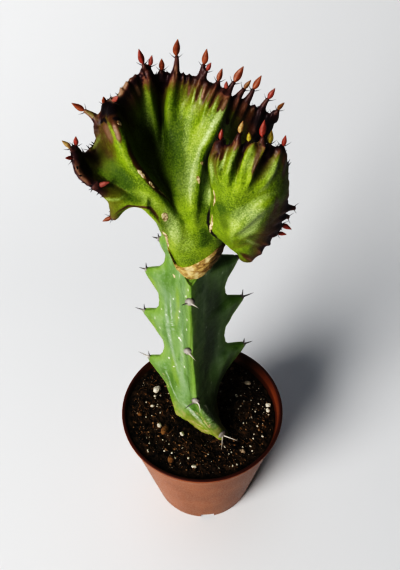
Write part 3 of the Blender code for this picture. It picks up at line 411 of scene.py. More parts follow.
def brush(obj, strokes):
    """Lays strokes on the surface that the camera sees at their pixels, one attribute for each kind."""
    bpy.context.view_layer.update()
    points = coords(obj)
    tree = tree_of(points)
    for kind, rows in strokes.items():
        layer = np.zeros(len(points))
        for half, strength, *line in rows:
            xs, ys = line[::2], line[1::2]
            along = np.cumsum([0.0, *map(math.hypot, np.diff(xs), np.diff(ys))])
            for t in np.linspace(0.0, 1.0, int(along[-1] / max(1.0, half)) + 3):
                pixel = (np.interp(t * along[-1], along, axis) for axis in (xs, ys))
                hit, spot = obj.ray_cast(*sight(*pixel))[:2]
                if not hit:
                    continue
                taper = min(1.0, 0.35 + 2.5 * t, 0.35 + 2.5 * (1 - t))
                reach = half * 1.3 * taper
                for _, index, distance in tree.find_range(spot / MM, reach):
                    fade = min(1.0, max(0.0, distance / reach - 0.25) / 0.75)
                    layer[index] = max(layer[index], strength * taper * (1 - fade * fade * (3 - 2 * fade)))
        paint(obj, kind, layer)


# Materials

class Sock:
    """An output of a node tree. Arithmetic on it makes Math nodes."""

    def __init__(self, graph, socket):
        self.graph, self.socket = graph, socket

    def __add__(self, other):
        return self.graph.math("ADD", self, other)

    def __sub__(self, other):
        return self.graph.math("SUBTRACT", self, other)

    def __mul__(self, other):
        return self.graph.math("MULTIPLY", self, other)

    __radd__ = __add__


class Graph:
    """A material's node tree around one Principled shader."""

    def __init__(self, name, **constants):
        self.material = bpy.data.materials.new(name)
        self.material.use_nodes = True
        self.tree = self.material.node_tree
        self.shader = self.tree.nodes["Principled BSDF"]
        self.spot = self.node("ShaderNodeTexCoord", output="Object")
        for key, value in constants.items():
            self.shader.inputs[key.replace("_", " ")].default_value = value

    def feed(self, slot, value):
        if isinstance(value, Sock):
            self.tree.links.new(value.socket, slot)
        elif slot.type == "RGBA":
            slot.default_value = (*value, 1.0)
        else:
            slot.default_value = value

    def node(self, kind, inputs=None, output=0, **settings):
        made = self.tree.nodes.new(kind)
        assign(made, **settings)
        for key, value in (inputs or {}).items():
            self.feed(made.inputs[key], value)
        return Sock(self, made.outputs[output])

    def math(self, operation, *values):
        return self.node("ShaderNodeMath", dict(enumerate(values)), operation=operation)

    def axis(self, k):
        return self.node("ShaderNodeSeparateXYZ", {0: self.spot}, k)

    def stretch(self, *scale):
        return self.node("ShaderNodeVectorMath", {0: self.spot, 1: scale}, operation="MULTIPLY")

    def grain(self, scale, detail=3.0, rough=0.55, spot=None, warp=0.0):
        return self.node("ShaderNodeTexNoise", {"Vector": spot or self.spot, "Scale": scale,
                                                "Detail": detail, "Roughness": rough, "Distortion": warp})

    def cells(self, scale, spot=None):
        return self.node("ShaderNodeTexVoronoi", {"Vector": spot or self.spot, "Scale": scale})

    def step(self, value, low, high, first=0.0, last=1.0):
        inputs = {"Value": value, "From Min": low, "From Max": high, "To Min": first, "To Max": last}
        return self.node("ShaderNodeMapRange", inputs, interpolation_type="SMOOTHSTEP")

    def mark(self, name, output="Fac"):
        return self.node("ShaderNodeAttribute", output=output, attribute_name=name)

    def mix(self, factor, a, b):
        return self.node("ShaderNodeMix", {0: factor, 6: a, 7: b}, 2, data_type="RGBA")

    def coat(self, colour, *layers):
        """Lays colours over one another, each with its own weight."""
        for weight, over in layers:
            colour = self.mix(weight, colour, over)
        return colour

    def bump(self, height, distance, strength, *below):
        return self.node("ShaderNodeBump", {"Height": height, "Distance": distance, "Strength": strength,
                                            **{"Normal": normal for normal in below}})

    def finish(self, colour, roughness=None, normal=None):
        for key, value in {"Base Color": colour, "Roughness": roughness, "Normal": normal}.items():
            if value is not None:
                self.feed(self.shader.inputs[key], value)
        return self.material


def dress(obj, material):
    obj.data.materials.clear()
    obj.data.materials.append(material)


def settle(obj, material, slot, *nodes):
    dress(obj, material)
    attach(obj, "root")
    if nodes:
        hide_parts(*nodes)


# Crest geometry

# Neck of the crest: height, centre x and y, half width and half depth.
NECK = (
    (168, -1.2, 0, 9, 7), (178, -1.2, -0.3, 9.6, 8), (184, -1.2, -0.5, 10.3, 8.6),
    (190, -1.4, -0.9, 11.2, 8.6), (197, -2.2, -1.4, 12, 8.4), (202, -2.6, -1.8, 11.4, 7.4),
    (205.5, -2.8, -2, 10, 6), (208, -3, -2, 8, 4.4), (210, -3.2, -1.5, 5, 2.4))
# Share of a sheet's thickness that lies in front of its net.
FRONT_SHARE = 0.3
# Flesh inside the arm that carries the left fan, and in the hollow beside its foot: path and radii.
CORES = (
    (((-16, -8.5, 214), (-14.6, -8.5, 212.6), (-12.6, -7, 208.1), (-10.8, -5, 200.2)), (1.6, 2.8, 3.6, 3.8)),
    (((-9.9, -4.5, 211.6), (-9, -6, 208.2), (-7.7, -6.5, 202.4), (-6.6, -5, 193.6)), (2, 3.2, 4, 4.2)))


def along_rows(rows, t, first):
    """Spline through rows at t, where rows[first] is where t is 0."""
    last = len(rows) - 1
    i = np.clip(np.floor(t).astype(int), 0, last - 1 - 2 * first)
    return [np.clip(i + first + k, 0, last) for k in (-1, 0, 1, 2)], (t - i)[:, None]


def fan_points(fan, u, v):
    """Points of the sheet's middle surface; u and v are arrays of one length."""
    stations = np.array(fan["stations"], float).reshape(-1, 4, 3)
    a, b = np.array(fan["root"], float)
    near, f = along_rows(stations, u * (len(stations) - 1), 0)
    rows = [a + (b - a) * u[:, None]]
    rows += [spline(*(stations[n, k] for n in near), f) for k in (3, 2, 1, 0)]
    rows = np.array([2 * rows[0] - rows[1]] + rows + [2 * rows[-1] - rows[-2]])
    near, f = along_rows(rows, v * (len(rows) - 3), 1)
    return spline(*(rows[n, np.arange(len(u))] for n in near), f)


def fan_point(fan, u, v):
    return Vector(fan_points(fan, np.array([float(u)]), np.array([float(v)]))[0])


def edge_at(fan, u, v=1.0):
    """A point near the margin, and the way out of the sheet there."""
    edge = fan_point(fan, u, v)
    return edge, (edge - fan_point(fan, u, 0.9)).normalized()


def fold_height(fan, u, v):
    return sum(height * np.exp(-((u - place) / half) ** 2) * smoothstep(begin, min(1.0, begin + 0.3), v)
               for place, half, height, begin in fan["folds"])


def fan_solid(gather, fan, across, along):
    """Adds a fan's closed sheet, and returns its middle points with their notes."""
    uu, vv = np.meshgrid(np.linspace(0, 1, across), np.linspace(0, 1, along), indexing="ij")
    fold = fold_height(fan, uu, np.ones_like(vv))
    ragged = 0.012 * np.sin(uu * 190.0) + 0.010 * np.sin(uu * 331.0 + 1.3)
    reach = vv * (1.0 + (0.02 * np.clip(fold, -1, 1.5) - 0.01 + ragged) * vv ** 4)
    centre = fan_points(fan, uu.ravel(), np.minimum(reach, 1.04).ravel()).reshape(across, along, 3)
    normal = np.cross(np.gradient(centre, axis=0), np.gradient(centre, axis=1))
    normal /= np.linalg.norm(normal, axis=2, keepdims=True) + 1e-9
    relief = fold_height(fan, uu, vv)
    thick = np.interp(vv, np.linspace(0, 1, len(fan["thick"])), fan["thick"]) + 0.5 * np.abs(relief)
    round_off = np.sqrt(np.clip(1.0 - np.clip((vv - 0.955) / 0.045, 0, 1) ** 2, 0.08, 1.0))
    sides = np.sqrt(np.clip(1.0 - np.clip(np.abs(uu - 0.5) - 0.48, 0, 1) ** 2 / 0.02 ** 2, 0.1, 1.0))
    thick = thick * round_off * sides
    front = centre + normal * (relief + thick * FRONT_SHARE)[:, :, None]
    back = centre + normal * (relief * 0.8 - thick * (1 - FRONT_SHARE))[:, :, None]
    gather.add(np.concatenate([front, back]).reshape(-1, 3).tolist(), shell_faces(across, along))
    margin = np.linalg.norm(centre - centre[:, -1:, :], axis=2)
    notes = [margin - table(fan["bands"], uu, k) for k in (1, 2)] + [relief, margin]
    return centre.reshape(-1, 3), np.stack([n.ravel() for n in notes], axis=1)


def finger_frame(name, place, lean):
    edge, outward = edge_at(FANS[name], place)
    return edge, outward, (Vector(lean).normalized() * 1.6 + outward * 0.5).normalized()


def soften(obj, weights, iterations):
    """Relaxes the surface where the weights are high."""
    group = obj.vertex_groups.new(name="soften")
    steps = np.round(weights * 12).astype(int)
    for level in range(1, 13):
        group.add(np.nonzero(steps == level)[0].tolist(), level / 12, "REPLACE")
    modify(obj, "SMOOTH", vertex_group=group.name, factor=0.5, iterations=iterations)
    obj.vertex_groups.clear()


def build_crest():
    solid = Gather()
    samples = [fan_solid(solid, fan, FAN_ACROSS[name], FAN_ALONG) for name, fan in FANS.items()]
    neck = [(cx + rx * c, cy + ry * s, z) for z, cx, cy, rx, ry in NECK for c, s in spokes(NECK_SIDES)]
    solid.add(neck, tube_faces(len(NECK), NECK_SIDES))
    for path, radii in CORES:
        solid.sweep(path, radii, 16)
    tips = []
    for k, (name, place, length, _, lean, _) in enumerate(FINGERS):
        edge, outward, way = finger_frame(name, place, lean)
        bend = Vector((math.sin(k * 1.9), math.cos(k * 2.7), 0.0)) * 0.25
        path = [edge - outward * 3.0, edge - outward * 1.0, edge + way * length * 0.35 + bend,
                edge + way * length * 0.75 + bend, edge + way * length]
        solid.sweep(path, (1.6, 1.6, 1.15, 0.85, 0.75), 12)
        tips.extend(path[2:])
    crest = solid.build("crest_flesh", tone=False)
    modify(crest, "REMESH", mode="VOXEL", voxel_size=CREST_VOXEL * MM)

    cloud, notes = (np.concatenate(parts) for parts in zip(*samples))
    notes = np.concatenate([notes, np.tile((-1.0, -6.0, 1.0, 0.0), (len(tips), 1))])
    tree = tree_of([*cloud, *tips])
    out = notes[[tree.find(p)[1] for p in coords(crest)]]
    soften(crest, 0.04 + 0.96 * smoothstep(8.0, 17.0, out[:, 3]), CREST_PASSES)
    soften(crest, np.ones(len(out)), ALL_OVER_PASSES)
    points = coords(crest)
    points[:, 2] = np.maximum(points[:, 2], table(GRAFT_HIGH, points[:, 0]) - 0.2)
    crest.data.vertices.foreach_set("co", (points * MM).astype(np.float32).ravel())
    crest.data.update()
    crest.data.shade_smooth()
    for name, values in zip(("rim", "flush", "relief"), out.T):
        paint(crest, name, values)
    brush(crest, CREST_STROKES)
    return crest


# Colour, painted light and painted shade on the crest that no ridge or margin explains. Stroke: half width
# in millimetres, strength, and its pixels (x, y, x, y and so on) in the photograph's 400 by 570 frame.
CREST_STROKES = {
    # Pale strokes: painted highlights along ridge crests and painted light on faces that lie in shade; the
    # one at pixel 83, 111 is that finger's own yellow-green.
    "pale_and_painted_light": (
        (0.8, 1, 199, 149, 195, 160, 192, 172, 190, 186, 190, 198, 191, 207),
        (1.3, 1.3, 231, 98, 224, 108, 215, 122, 208, 134, 200, 147, 196, 158),
        (2.8, 0.5, 212, 112, 205, 125, 198, 140, 193, 155, 190, 170, 188, 190, 189, 205),
        (1.8, 0.4, 190, 102, 188, 120, 186, 140, 185, 160),
        (2.2, 0.45, 144, 84, 146, 102, 150, 124, 152, 132),
        (1.7, 0.7, 280, 191, 270, 195, 260, 200, 249, 207, 240, 216, 234, 226, 231, 236, 232, 244),
        (2.6, 0.6, 248, 205, 239, 214, 234, 225, 233, 238),
        (3.2, 0.9, 165, 208, 171, 220, 175, 233, 176, 246), (3.8, 1, 262, 208, 256, 219, 248, 230, 240, 238),
        (1, 0.7, 244, 239, 253, 243, 263, 247), (1.3, 0.6, 254, 144, 250, 158, 244, 174),
        (1.3, 0.7, 280, 154, 275, 170, 267, 186, 258, 193),
        (0.9, 0.6, 238, 142, 235, 155, 229, 168, 224, 176), (0.7, 0.9, 226, 152, 223, 161, 219, 172),
        (1.1, 0.8, 211, 160, 211, 172, 212, 186), (2.4, 1, 202, 166, 204, 180, 207, 192, 206, 206),
        (1.6, 0.8, 221, 120, 227, 125, 229, 134), (1.2, 1, 83, 111, 88, 112, 94, 116, 99, 121),
        (0.8, 0.9, 90, 190, 97, 196, 105, 199, 113, 200, 120, 199, 125, 195),
        (0.8, 0.8, 101, 133, 98, 140, 94, 147, 88, 152), (4.5, 0.3, 176, 226, 180, 240, 190, 250),
        (2, 0.3, 135, 190, 150, 200, 163, 212), (0.5, 1, 202, 84, 201, 93, 199, 106),
        (0.5, 1, 212, 88, 208, 98, 204, 109), (0.5, 1, 220, 92, 216, 101, 211, 113),
        (0.5, 0.9, 195, 86, 194, 95, 192, 104)),
    # Painted shade: darker green in valleys and on faces in the shadow of folds and of the lip.
    "painted_shade": (
        (3, 0.6, 220, 200, 223, 216, 224, 232), (5, 0.75, 98, 148, 105, 160, 113, 172, 123, 182, 134, 190),
        (5, 0.5, 171, 100, 174, 125, 177, 150, 178, 175, 180, 196, 184, 212),
        (2.3, 1, 162, 76, 163, 92, 162, 112, 164, 134), (4, 0.9, 237, 118, 237, 130, 232, 140),
        (2.6, 0.6, 203, 228, 207, 238, 203, 247), (2.4, 0.5, 118, 192, 132, 197, 150, 203),
        (1.4, 0.8, 240, 148, 240, 158, 238, 170), (1.6, 0.9, 266, 150, 265, 162, 261, 174),
        (2, 0.7, 95, 184, 101, 190, 108, 193)),
    "brown": (
        # The line down the right side of the left fan's ridge is brown skin and painted shade.
        (1.3, 0.9, 124, 126, 127, 140, 131, 153, 137, 165, 144, 174, 150, 182, 158, 190, 166, 197, 172, 205,
         177, 213), (6, 0.6, 103, 126, 107, 142, 113, 155), (3, 0.9, 106, 113, 113, 117, 119, 126),
        (0.8, 0.9, 112, 217, 119, 211, 128, 206, 140, 207, 150, 208, 157, 216, 161, 228),
        (2.8, 0.9, 235, 112, 240, 110, 248, 112, 255, 114), (1, 1, 227, 119, 228, 124),
        (1.8, 0.6, 216, 144, 210, 152, 207, 160, 208, 170), (1, 0.9, 222, 146, 222, 154, 220, 162),
        (3.5, 0.6, 279, 200, 274, 214, 270, 226, 262, 240, 250, 250), (2, 0.8, 240, 252, 250, 259, 260, 256),
        (1.2, 0.6, 124, 112, 130, 120, 136, 130), (3.4, 0.5, 88, 152, 92, 160, 96, 168),
        (4.5, 0.5, 186, 84, 198, 88, 210, 93, 222, 99), (0.6, 1, 198, 86, 197, 94, 195, 103),
        (0.6, 1, 207, 88, 205, 96, 202, 106), (0.6, 1, 216, 91, 213, 100, 208, 110),
        (0.6, 1, 224, 97, 220, 106, 216, 114), (1.2, 0.8, 261, 140, 258, 155, 254, 170, 252, 182)),
    "mauve_and_highlight": (
        (1.5, 0.8, 75, 158, 78, 169, 84, 179, 92, 187), (3, 0.75, 104, 124, 108, 133, 113, 142),
        (1.2, 0.9, 112, 121, 117, 132, 121, 144), (0.6, 0.8, 190, 82, 189, 90, 188, 98),
        (0.7, 0.9, 205, 86, 203, 94, 201, 101), (0.6, 0.8, 211, 90, 209, 97, 206, 104),
        (1, 0.9, 229, 97, 225, 104, 221, 112), (0.9, 0.8, 176, 62, 176, 72, 176, 84),
        (2.8, 0.6, 230, 104, 238, 105, 246, 107), (1.2, 0.9, 135, 84, 138, 91, 141, 98),
        (0.8, 0.8, 238, 138, 236, 146, 233, 152), (1.6, 0.7, 284, 152, 285, 166, 283, 180),
        (1.8, 0.6, 276, 196, 277, 206, 273, 216), (1, 0.8, 243, 256, 252, 261, 261, 256),
        (1.9, 1, 95, 126, 97, 114, 104, 106, 112, 101, 119, 94, 123, 86, 130, 79, 138, 74)),
    "black": (
        (5, 1, 257, 117, 263, 124, 270, 130, 262, 136, 272, 142),
        # The thin line down the right fan's lower left edge is painted shade in the gap between the fan and
        # the neck.
        (0.8, 0.9, 211, 202, 209, 212, 208, 222, 211, 232, 217, 238, 225, 243),
        (3.2, 1, 100, 108, 108, 107, 115, 112), (2, 0.9, 80, 156, 86, 168, 93, 178),
        (0.8, 0.9, 99, 124, 104, 119, 108, 124), (1, 0.9, 112, 118, 119, 119, 124, 123)),
    "cork": (
        (0.7, 1, 137, 169, 142, 174, 147, 180), (0.6, 1, 149, 181, 155, 188),
        (0.7, 1, 158, 189, 164, 194, 169, 201), (0.8, 1, 213, 188, 215, 198, 213, 208),
        (0.8, 1, 212, 212, 212, 222, 210, 233), (0.8, 0.9, 197, 175, 200, 184),
        (0.9, 1, 160, 229, 166, 236, 168, 244, 166, 253), (1.3, 1, 164, 213, 166, 221),
        (0.9, 1, 118, 121, 121, 125), (0.8, 0.9, 173, 262, 177, 268), (0.8, 0.9, 201, 162, 205, 165)),
}


def crest_skin():
    g = Graph("crest_skin", Specular_IOR_Level=0.3)
    pale_and_painted_light_weight, painted_shade = g.mark("pale_and_painted_light"), g.mark("painted_shade")
    # Where the pale strokes lie, painted light holds the dark margin bands back.
    rim, flush, relief = g.mark("rim") + pale_and_painted_light_weight * 3.0, g.mark("flush") + pale_and_painted_light_weight * 5.0, g.mark("relief")
    fine, speckle, pores = g.grain(520.0, 4.0), g.grain(1700.0, 2.0), g.cells(1150.0)
    # Small pale spots over the skin: a painted sheen.
    painted_sheen_spots = g.step(pores, 0.16, 0.34, 1.0, 0.0) * g.step(fine, 0.4, 0.62)
    drift = (g.grain(160.0) - 0.5) * 6.0
    fold = g.step(relief, -0.8, 1.2, -2.0, 1.5)
    warm = g.mix(g.step(relief, 0.2, 1.2), (0.070, 0.021, 0.017), (0.210, 0.095, 0.075))
    broken = (g.grain(700.0) - 0.5) * 0.9
    # Mauve pleat skin, lighter pink at the strokes' middles: mauve colour with a painted highlight along
    # each crest.
    mauve_and_highlight = g.mix(g.step(g.mark("mauve_and_highlight"), 0.6, 1.0), (0.120, 0.056, 0.034), (0.24, 0.155, 0.100))
    cork = g.step(g.mark("cork") + broken, 0.35, 0.65)
    bark = g.mix(g.step(broken, -0.12, 0.1), (0.20, 0.125, 0.06), (0.62, 0.51, 0.33))
    brown, purple, black = (g.step(g.mark(kind) + broken * 0.5, 0.1, 0.9)
                            for kind in ("brown", "mauve_and_highlight", "black"))
    colour = g.coat(
        (0.080, 0.125, 0.003), (g.step(g.grain(90.0), 0.35, 0.65), (0.180, 0.245, 0.010)),
        (g.step(speckle, 0.42, 0.72) * 0.45, (0.30, 0.38, 0.055)),
        (g.step(speckle, 0.46, 0.28) * 0.5, (0.045, 0.075, 0.005)),
        # Pale sheen spots, then the pale strokes: painted highlights and painted light, apart from one
        # finger's own yellow-green.
        (painted_sheen_spots * (0.22 + pale_and_painted_light_weight * 0.6), (0.46, 0.52, 0.25)),
        (pale_and_painted_light_weight * (0.35 + g.step(speckle, 0.35, 0.65) * 0.4), (0.37, 0.45, 0.20)),
        # Painted shade: dark green where the shade strokes lie.
        (painted_shade * 0.9, (0.018, 0.040, 0.003)),
        (g.step(flush + drift + fold, -1.0, 7.0, 1.0, 0.0) * 0.75, (0.105, 0.090, 0.010)),
        (g.step(flush + drift, -5.0, 1.5, 1.0, 0.0) * 0.9, warm),
        (g.step(rim + drift * 0.35 + fold * 0.5, -1.2, 1.6, 1.0, 0.0), (0.030, 0.009, 0.011)),
        (brown, (0.072, 0.034, 0.012)), (purple, mauve_and_highlight), (black, (0.010, 0.004, 0.006)), (cork, bark))
    normal = g.bump(cork * speckle, 0.0008, 0.7, g.bump(pores, 0.00012, 0.7, g.bump(fine, 0.0002, 0.6)))
    return g.finish(colour, g.step(fine, 0.3, 0.8, 0.4, 0.6) + painted_shade * 0.35, normal)


def build_leaves():
    """Small blades on the fingers: cupped, with a midrib and a drawn-out tip."""
    leaves = Gather()
    for k, (name, place, finger, length, lean, kind) in enumerate(FINGERS):
        if not length:
            continue
        edge, _, axis = finger_frame(name, place, lean)
        foot = edge + axis * (finger - 0.3)
        tone = np.array(LEAF_TONES[kind])
        view = Vector((0.35 * math.sin(k * 2.1), -0.85, 0.45 + 0.2 * math.cos(k * 1.7)))
        across = view.cross(axis).normalized()
        face = axis.cross(across)
        width = 0.205 * length * (1.25 if kind == YELLOW else 1.0)
        curl = 0.12 * math.sin(k * 1.3)
        verts, notes = [], []
        for side in (1, -1):
            for t in np.arange(LEAF_ROWS) / (LEAF_ROWS - 1):
                swell = math.sin(math.pi * min(1.0, t * 1.02) ** 0.8) ** 0.85
                half = width * swell * (1.06 - 0.35 * t) + 0.12
                for s in 2 * np.arange(LEAF_COLS) / (LEAF_COLS - 1) - 1:
                    cup = 0.34 * half * s * s + curl * t * t * length
                    rib = 0.10 * math.exp(-(s / 0.16) ** 2) * (1 - t)
                    thick = 0.30 * (1 - 0.65 * abs(s) ** 3) * (1 - 0.5 * t)
                    p = foot + axis * (t * length) + across * (s * half) + face * (-cup + side * thick + rib)
                    verts.append(tuple(p))
                    shade = (1.0 - 0.55 * abs(s) ** 2.5 - 0.5 * max(0.0, t - 0.7) / 0.3
                             - 0.28 * math.exp(-(s / 0.12) ** 2) - 0.35 * max(0.0, 0.2 - t) / 0.2)
                    mixed = tone * (0.35 + 0.65 * shade) + np.array((0.10, 0.01, 0.0)) * (1 - shade) * 0.6
                    notes.append(tuple(np.clip(mixed, 0.01, 1)))
        leaves.add(verts, shell_faces(LEAF_ROWS, LEAF_COLS)[:, [0, 3, 2, 1]], notes)
    return leaves.build("crest_leaves")


def leaf_skin():
    g = Graph("leaf_skin")
    veins = g.grain(900.0, 4.0)
    colour = g.mix(g.step(veins, 0.35, 0.65) * 0.6, g.mark("tone", "Color"), (0.11, 0.026, 0.010))
    return g.finish(colour, g.step(veins, 0.3, 0.7, 0.38, 0.6), g.bump(veins, 0.00012, 0.6))


def spine(gather, foot, way, length, radius, bend=Vector(), sides=7, tones=(0.6, 0.15)):
    """A tapering spine; bend is how far its tip is carried sideways."""
    way = way.normalized()
    path, radii, notes = [], [], []
    for i in range(8):
        t = i / 7
        path.append(foot + way * (length * t) + bend * t * t)
        radii.append(radius * ((1 - t) ** 0.8 * 0.9 + 0.08) * (1.0 + 0.55 * max(0.0, 0.25 - t)))
        notes.append(tones[0] * (1 - t) + tones[1] * t)
    gather.sweep(path, radii, sides, notes)


def build_crest_spines():
    spines = Gather()
    rng = random.Random(5)
    for name, fan in FANS.items():
        for u, half, height, begin in fan["folds"]:
            if height < 0.9 or begin < 0.4:
                continue
            edge, outward = edge_at(fan, u, 0.985)
            along = fan_point(fan, min(1.0, u + 0.01), 1.0) - fan_point(fan, max(0.0, u - 0.01), 1.0)
            along.normalize()
            for side in (-1, 1):
                way = outward * 0.8 + along * side * rng.uniform(0.5, 1.0)
                spine(spines, edge - way.normalized() * 0.8, way, rng.uniform(2.4, 3.2), 0.24,
                      tones=(0.12, 0.05))
        for _ in range(MARGIN_SPINES):
            edge, outward = edge_at(fan, rng.uniform(0.12 if name == "left" else 0.0, 0.95), 0.975)
            drift = Vector((rng.uniform(-1, 1), rng.uniform(-1, 1), rng.uniform(-0.4, 1))) * 0.7
            spine(spines, edge - outward * 0.8, outward + drift, rng.uniform(2.0, 3.2), 0.36, sides=6,
                  tones=(0.10, 0.04))
    for name, place, length, _, lean, _ in FINGERS:
        edge, outward, way = finger_frame(name, place, lean)
        top = edge + way * length * 0.86
        across = way.cross(Vector((0.1, -1.0, 0.4))).normalized()
        for side in (-1, 1):
            spine(spines, top + across * side * 0.5, across * side + way * 0.55, rng.uniform(1.5, 2.3), 0.17,
                  way * 0.6, tones=(0.08, 0.05))
    return spines.build("crest_spines")


def horn_skin(name, light, dark):
    g = Graph(name)
    streak = g.grain(700.0, 4.0)
    colour = g.mix(g.step(g.mark("tone") + (streak - 0.5) * 0.25, 0.05, 0.75), dark, light)
    return g.finish(colour, g.step(streak, 0.3, 0.7, 0.42, 0.62), g.bump(streak, 0.0001, 0.5))


# Rootstock

def wing_at(name, z):
    """Reach and bearing of a wing at a height."""
    reach, bearing = WINGS[name]
    return soft_table(reach, z, 0.45), math.radians(soft_table(bearing, z, 2.0))


def stock_ring(z):
    cx, cy = (table(STOCK_AXIS, z, k) for k in (1, 2))
    wings = [wing_at(name, z) for name in WINGS]
    control = []
    for index, (reach, bearing) in enumerate(wings):
        following = wings[(index + 1) % 3][1]
        if following < bearing:
            following += 2 * math.pi
        core = 7.2 if reach > 9.0 else 0.8 * reach
        blunt = 1.15 + (FOOT_BLUNT * (1 - smoothstep(76.0, 98.0, z)) if index == 2 else 0.0)
        for along, half, mark in ((0.56 * reach, -3.9, 0.35), (reach - 0.9, -blunt, 0.9), (reach, 0.0, 1.0),
                                  (reach - 0.9, blunt, 0.9), (0.56 * reach, 3.9, 0.35)):
            control.append((cx + along * math.cos(bearing) - half * math.sin(bearing),
                            cy + along * math.sin(bearing) + half * math.cos(bearing), mark))
        middle = (bearing + following) / 2
        control.append((cx + core * math.cos(middle), cy + core * math.sin(middle), 0.0))
    control = np.array(control, float)
    ring = []
    for k in range(len(control)):
        near = [control[(k + s) % len(control)] for s in (-1, 0, 1, 2)]
        for f in np.arange(STOCK_SPAN) / STOCK_SPAN:
            x, y, _ = spline(*near, f)
            ring.append((x, y, z, near[1][2] * (1 - f) + near[2][2] * f))
    return ring


def build_rootstock():
    heights = np.arange(STOCK_FOOT_Z, STOCK_TOP_Z + 0.01, STOCK_STEP)
    rings = np.array([p for z in heights for p in stock_ring(z)])
    points = rings[:, :3].copy()
    out = points[:, :2] - np.stack([table(STOCK_AXIS, points[:, 2], k) for k in (1, 2)], axis=1)
    swell = lumps(points, 0.11, 3, 4.0) * 0.45 + lumps(points, 0.45, 2, 9.0) * 0.12
    points[:, :2] += out / (np.linalg.norm(out, axis=1, keepdims=True) + 1e-6) * swell[:, None]
    points[:, 2] = np.minimum(points[:, 2], table(GRAFT_LOW, points[:, 0]) + 0.15)
    obj = new_object("rootstock_flesh", points, tube_faces(len(heights), len(rings) // len(heights)))
    paint(obj, "wing", rings[:, 3])
    brush(obj, STOCK_STROKES)
    return obj


# Colour on the rootstock, in strokes of the same form.
STOCK_STROKES = {
    "bloom": (
        (1.7, 0.7, 165, 283, 166, 310, 169, 335, 175, 362, 184, 390), (0.5, 1, 170, 286, 171, 312, 174, 338),
        (1.8, 0.5, 158, 246, 162, 262, 164, 280), (2, 0.5, 184, 310, 182, 340, 182, 375, 188, 398),
        (3.2, 1, 199, 404, 207, 413, 216, 425, 222, 434),
        (0.7, 1, 162, 357, 166, 370, 172, 388, 179, 402, 184, 407),
        (2.4, 0.9, 182, 402, 190, 410, 200, 420, 210, 432)),
    "lime": (
        (2.2, 0.9, 149, 274, 154, 286, 159, 299), (2, 0.9, 149, 314, 155, 328, 163, 344),
        (1.3, 0.7, 177, 285, 178, 305, 176, 330), (1.6, 0.6, 172, 350, 174, 372, 180, 390)),
    "shade": (
        (0.7, 0.8, 192, 288, 192, 320, 190, 345, 191, 370, 192, 395),
        (7, 0.75, 210, 275, 213, 300, 212, 330, 208, 360, 204, 385), (3, 0.6, 234, 262, 229, 276),
        (3, 0.6, 239, 300, 231, 314, 226, 326), (3, 0.6, 239, 343, 231, 356, 222, 376, 214, 394),
        (0.6, 0.9, 157, 351, 161, 358)),
    "cork": (
        (1.6, 0.5, 188, 408, 198, 414, 207, 423, 214, 433),
        (1.3, 0.75, 176, 414, 183, 424, 194, 431, 205, 437, 216, 441),
        (0.5, 0.8, 160, 366, 165, 378, 170, 391), (0.7, 1, 173, 274, 175, 278),
        (0.7, 0.7, 190, 420, 202, 427, 212, 436)),
    "fleck": (
        (0.6, 1, 202, 405, 206, 406, 208, 410, 206, 414), (0.5, 1, 188, 289, 188, 291),
        (0.5, 1, 186, 296, 186, 297), (0.5, 1, 179, 311, 180, 312), (0.4, 1, 178, 317, 179, 318),
        (0.5, 1, 187, 319, 187, 321), (0.5, 1, 186, 328, 187, 331), (0.5, 1, 177, 335, 180, 339, 182, 342),
        (0.4, 0.9, 174, 366, 174, 368), (0.4, 0.9, 169, 357, 169, 359), (0.4, 0.9, 161, 308, 162, 310),
        (0.4, 0.9, 173, 298, 173, 300), (0.4, 0.9, 184, 366, 185, 368)),
}


def stock_skin():
    g = Graph("rootstock_skin", Specular_IOR_Level=0.45)
    bloom, lime, shade, fleck, cork = (g.mark(kind) for kind in ("bloom", "lime", "shade", "fleck", "cork"))
    streak = g.grain(150.0, 4.0, spot=g.stretch(1.0, 1.0, 0.22))
    fine = g.grain(900.0)
    patch = g.step(g.grain(230.0, 4.0, spot=g.stretch(1.0, 1.0, 0.55)), 0.5, 0.68)
    haze = g.step(g.grain(70.0, spot=g.stretch(1.0, 1.0, 0.3)), 0.48, 0.68)
    rough = (g.grain(520.0, 4.0) - 0.5) * 1.1
    crumbs = (g.grain(760.0, 4.0, 0.7) - 0.5) * 3.4
    dots = g.step(g.cells(330.0, g.stretch(1.0, 1.0, 0.45)), 0.10, 0.2, 1.0, 0.0)
    low = g.step(g.axis(2) + (g.grain(60.0) - 0.5) * 0.012, 0.068, 0.086, 0.8, 0.0)
    bark = g.mix(g.step(g.grain(260.0, 4.0), 0.42, 0.6), (0.24, 0.30, 0.03), (0.42, 0.36, 0.14))
    colour = g.coat(
        (0.078, 0.150, 0.026), (g.step(streak, 0.36, 0.64), (0.150, 0.235, 0.075)),
        (patch * 0.55, (0.055, 0.125, 0.012)), (haze * 0.4, (0.235, 0.305, 0.205)),
        (g.step(fine, 0.45, 0.75) * 0.3, (0.26, 0.33, 0.21)),
        (g.step(bloom + rough * 0.6, 0.1, 1.0) * 0.7, (0.27, 0.34, 0.25)),
        (g.step(bloom + crumbs, 0.8, 1.3) * 0.75, (0.47, 0.53, 0.42)),
        (g.step(bloom - crumbs, 0.9, 1.4) * 0.6, (0.045, 0.105, 0.012)),
        (lime * g.step(streak, 0.3, 0.7, 0.4, 1.0), (0.19, 0.27, 0.020)),
        (g.step(shade + rough * 0.4, 0.0, 1.0) * 0.75, (0.030, 0.048, 0.016)),
        (dots * g.step(streak, 0.5, 0.62) * 0.6, (0.45, 0.50, 0.38)),
        (g.step(fleck + rough * 0.4, 0.3, 0.6), (0.60, 0.62, 0.52)),
        (g.step(g.mark("wing"), 0.5, 0.95) * 0.45, (0.165, 0.26, 0.03)), (low * 0.85, bark),
        (g.step(cork + rough * 0.4 + crumbs * 0.6, 0.4, 0.8), (0.50, 0.39, 0.25)))
    normal = g.bump(fine, 0.0002, 0.5, g.bump(streak, 0.0004, 0.5))
    return g.finish(colour, g.step(fine, 0.3, 0.75, 0.4, 0.62), normal)


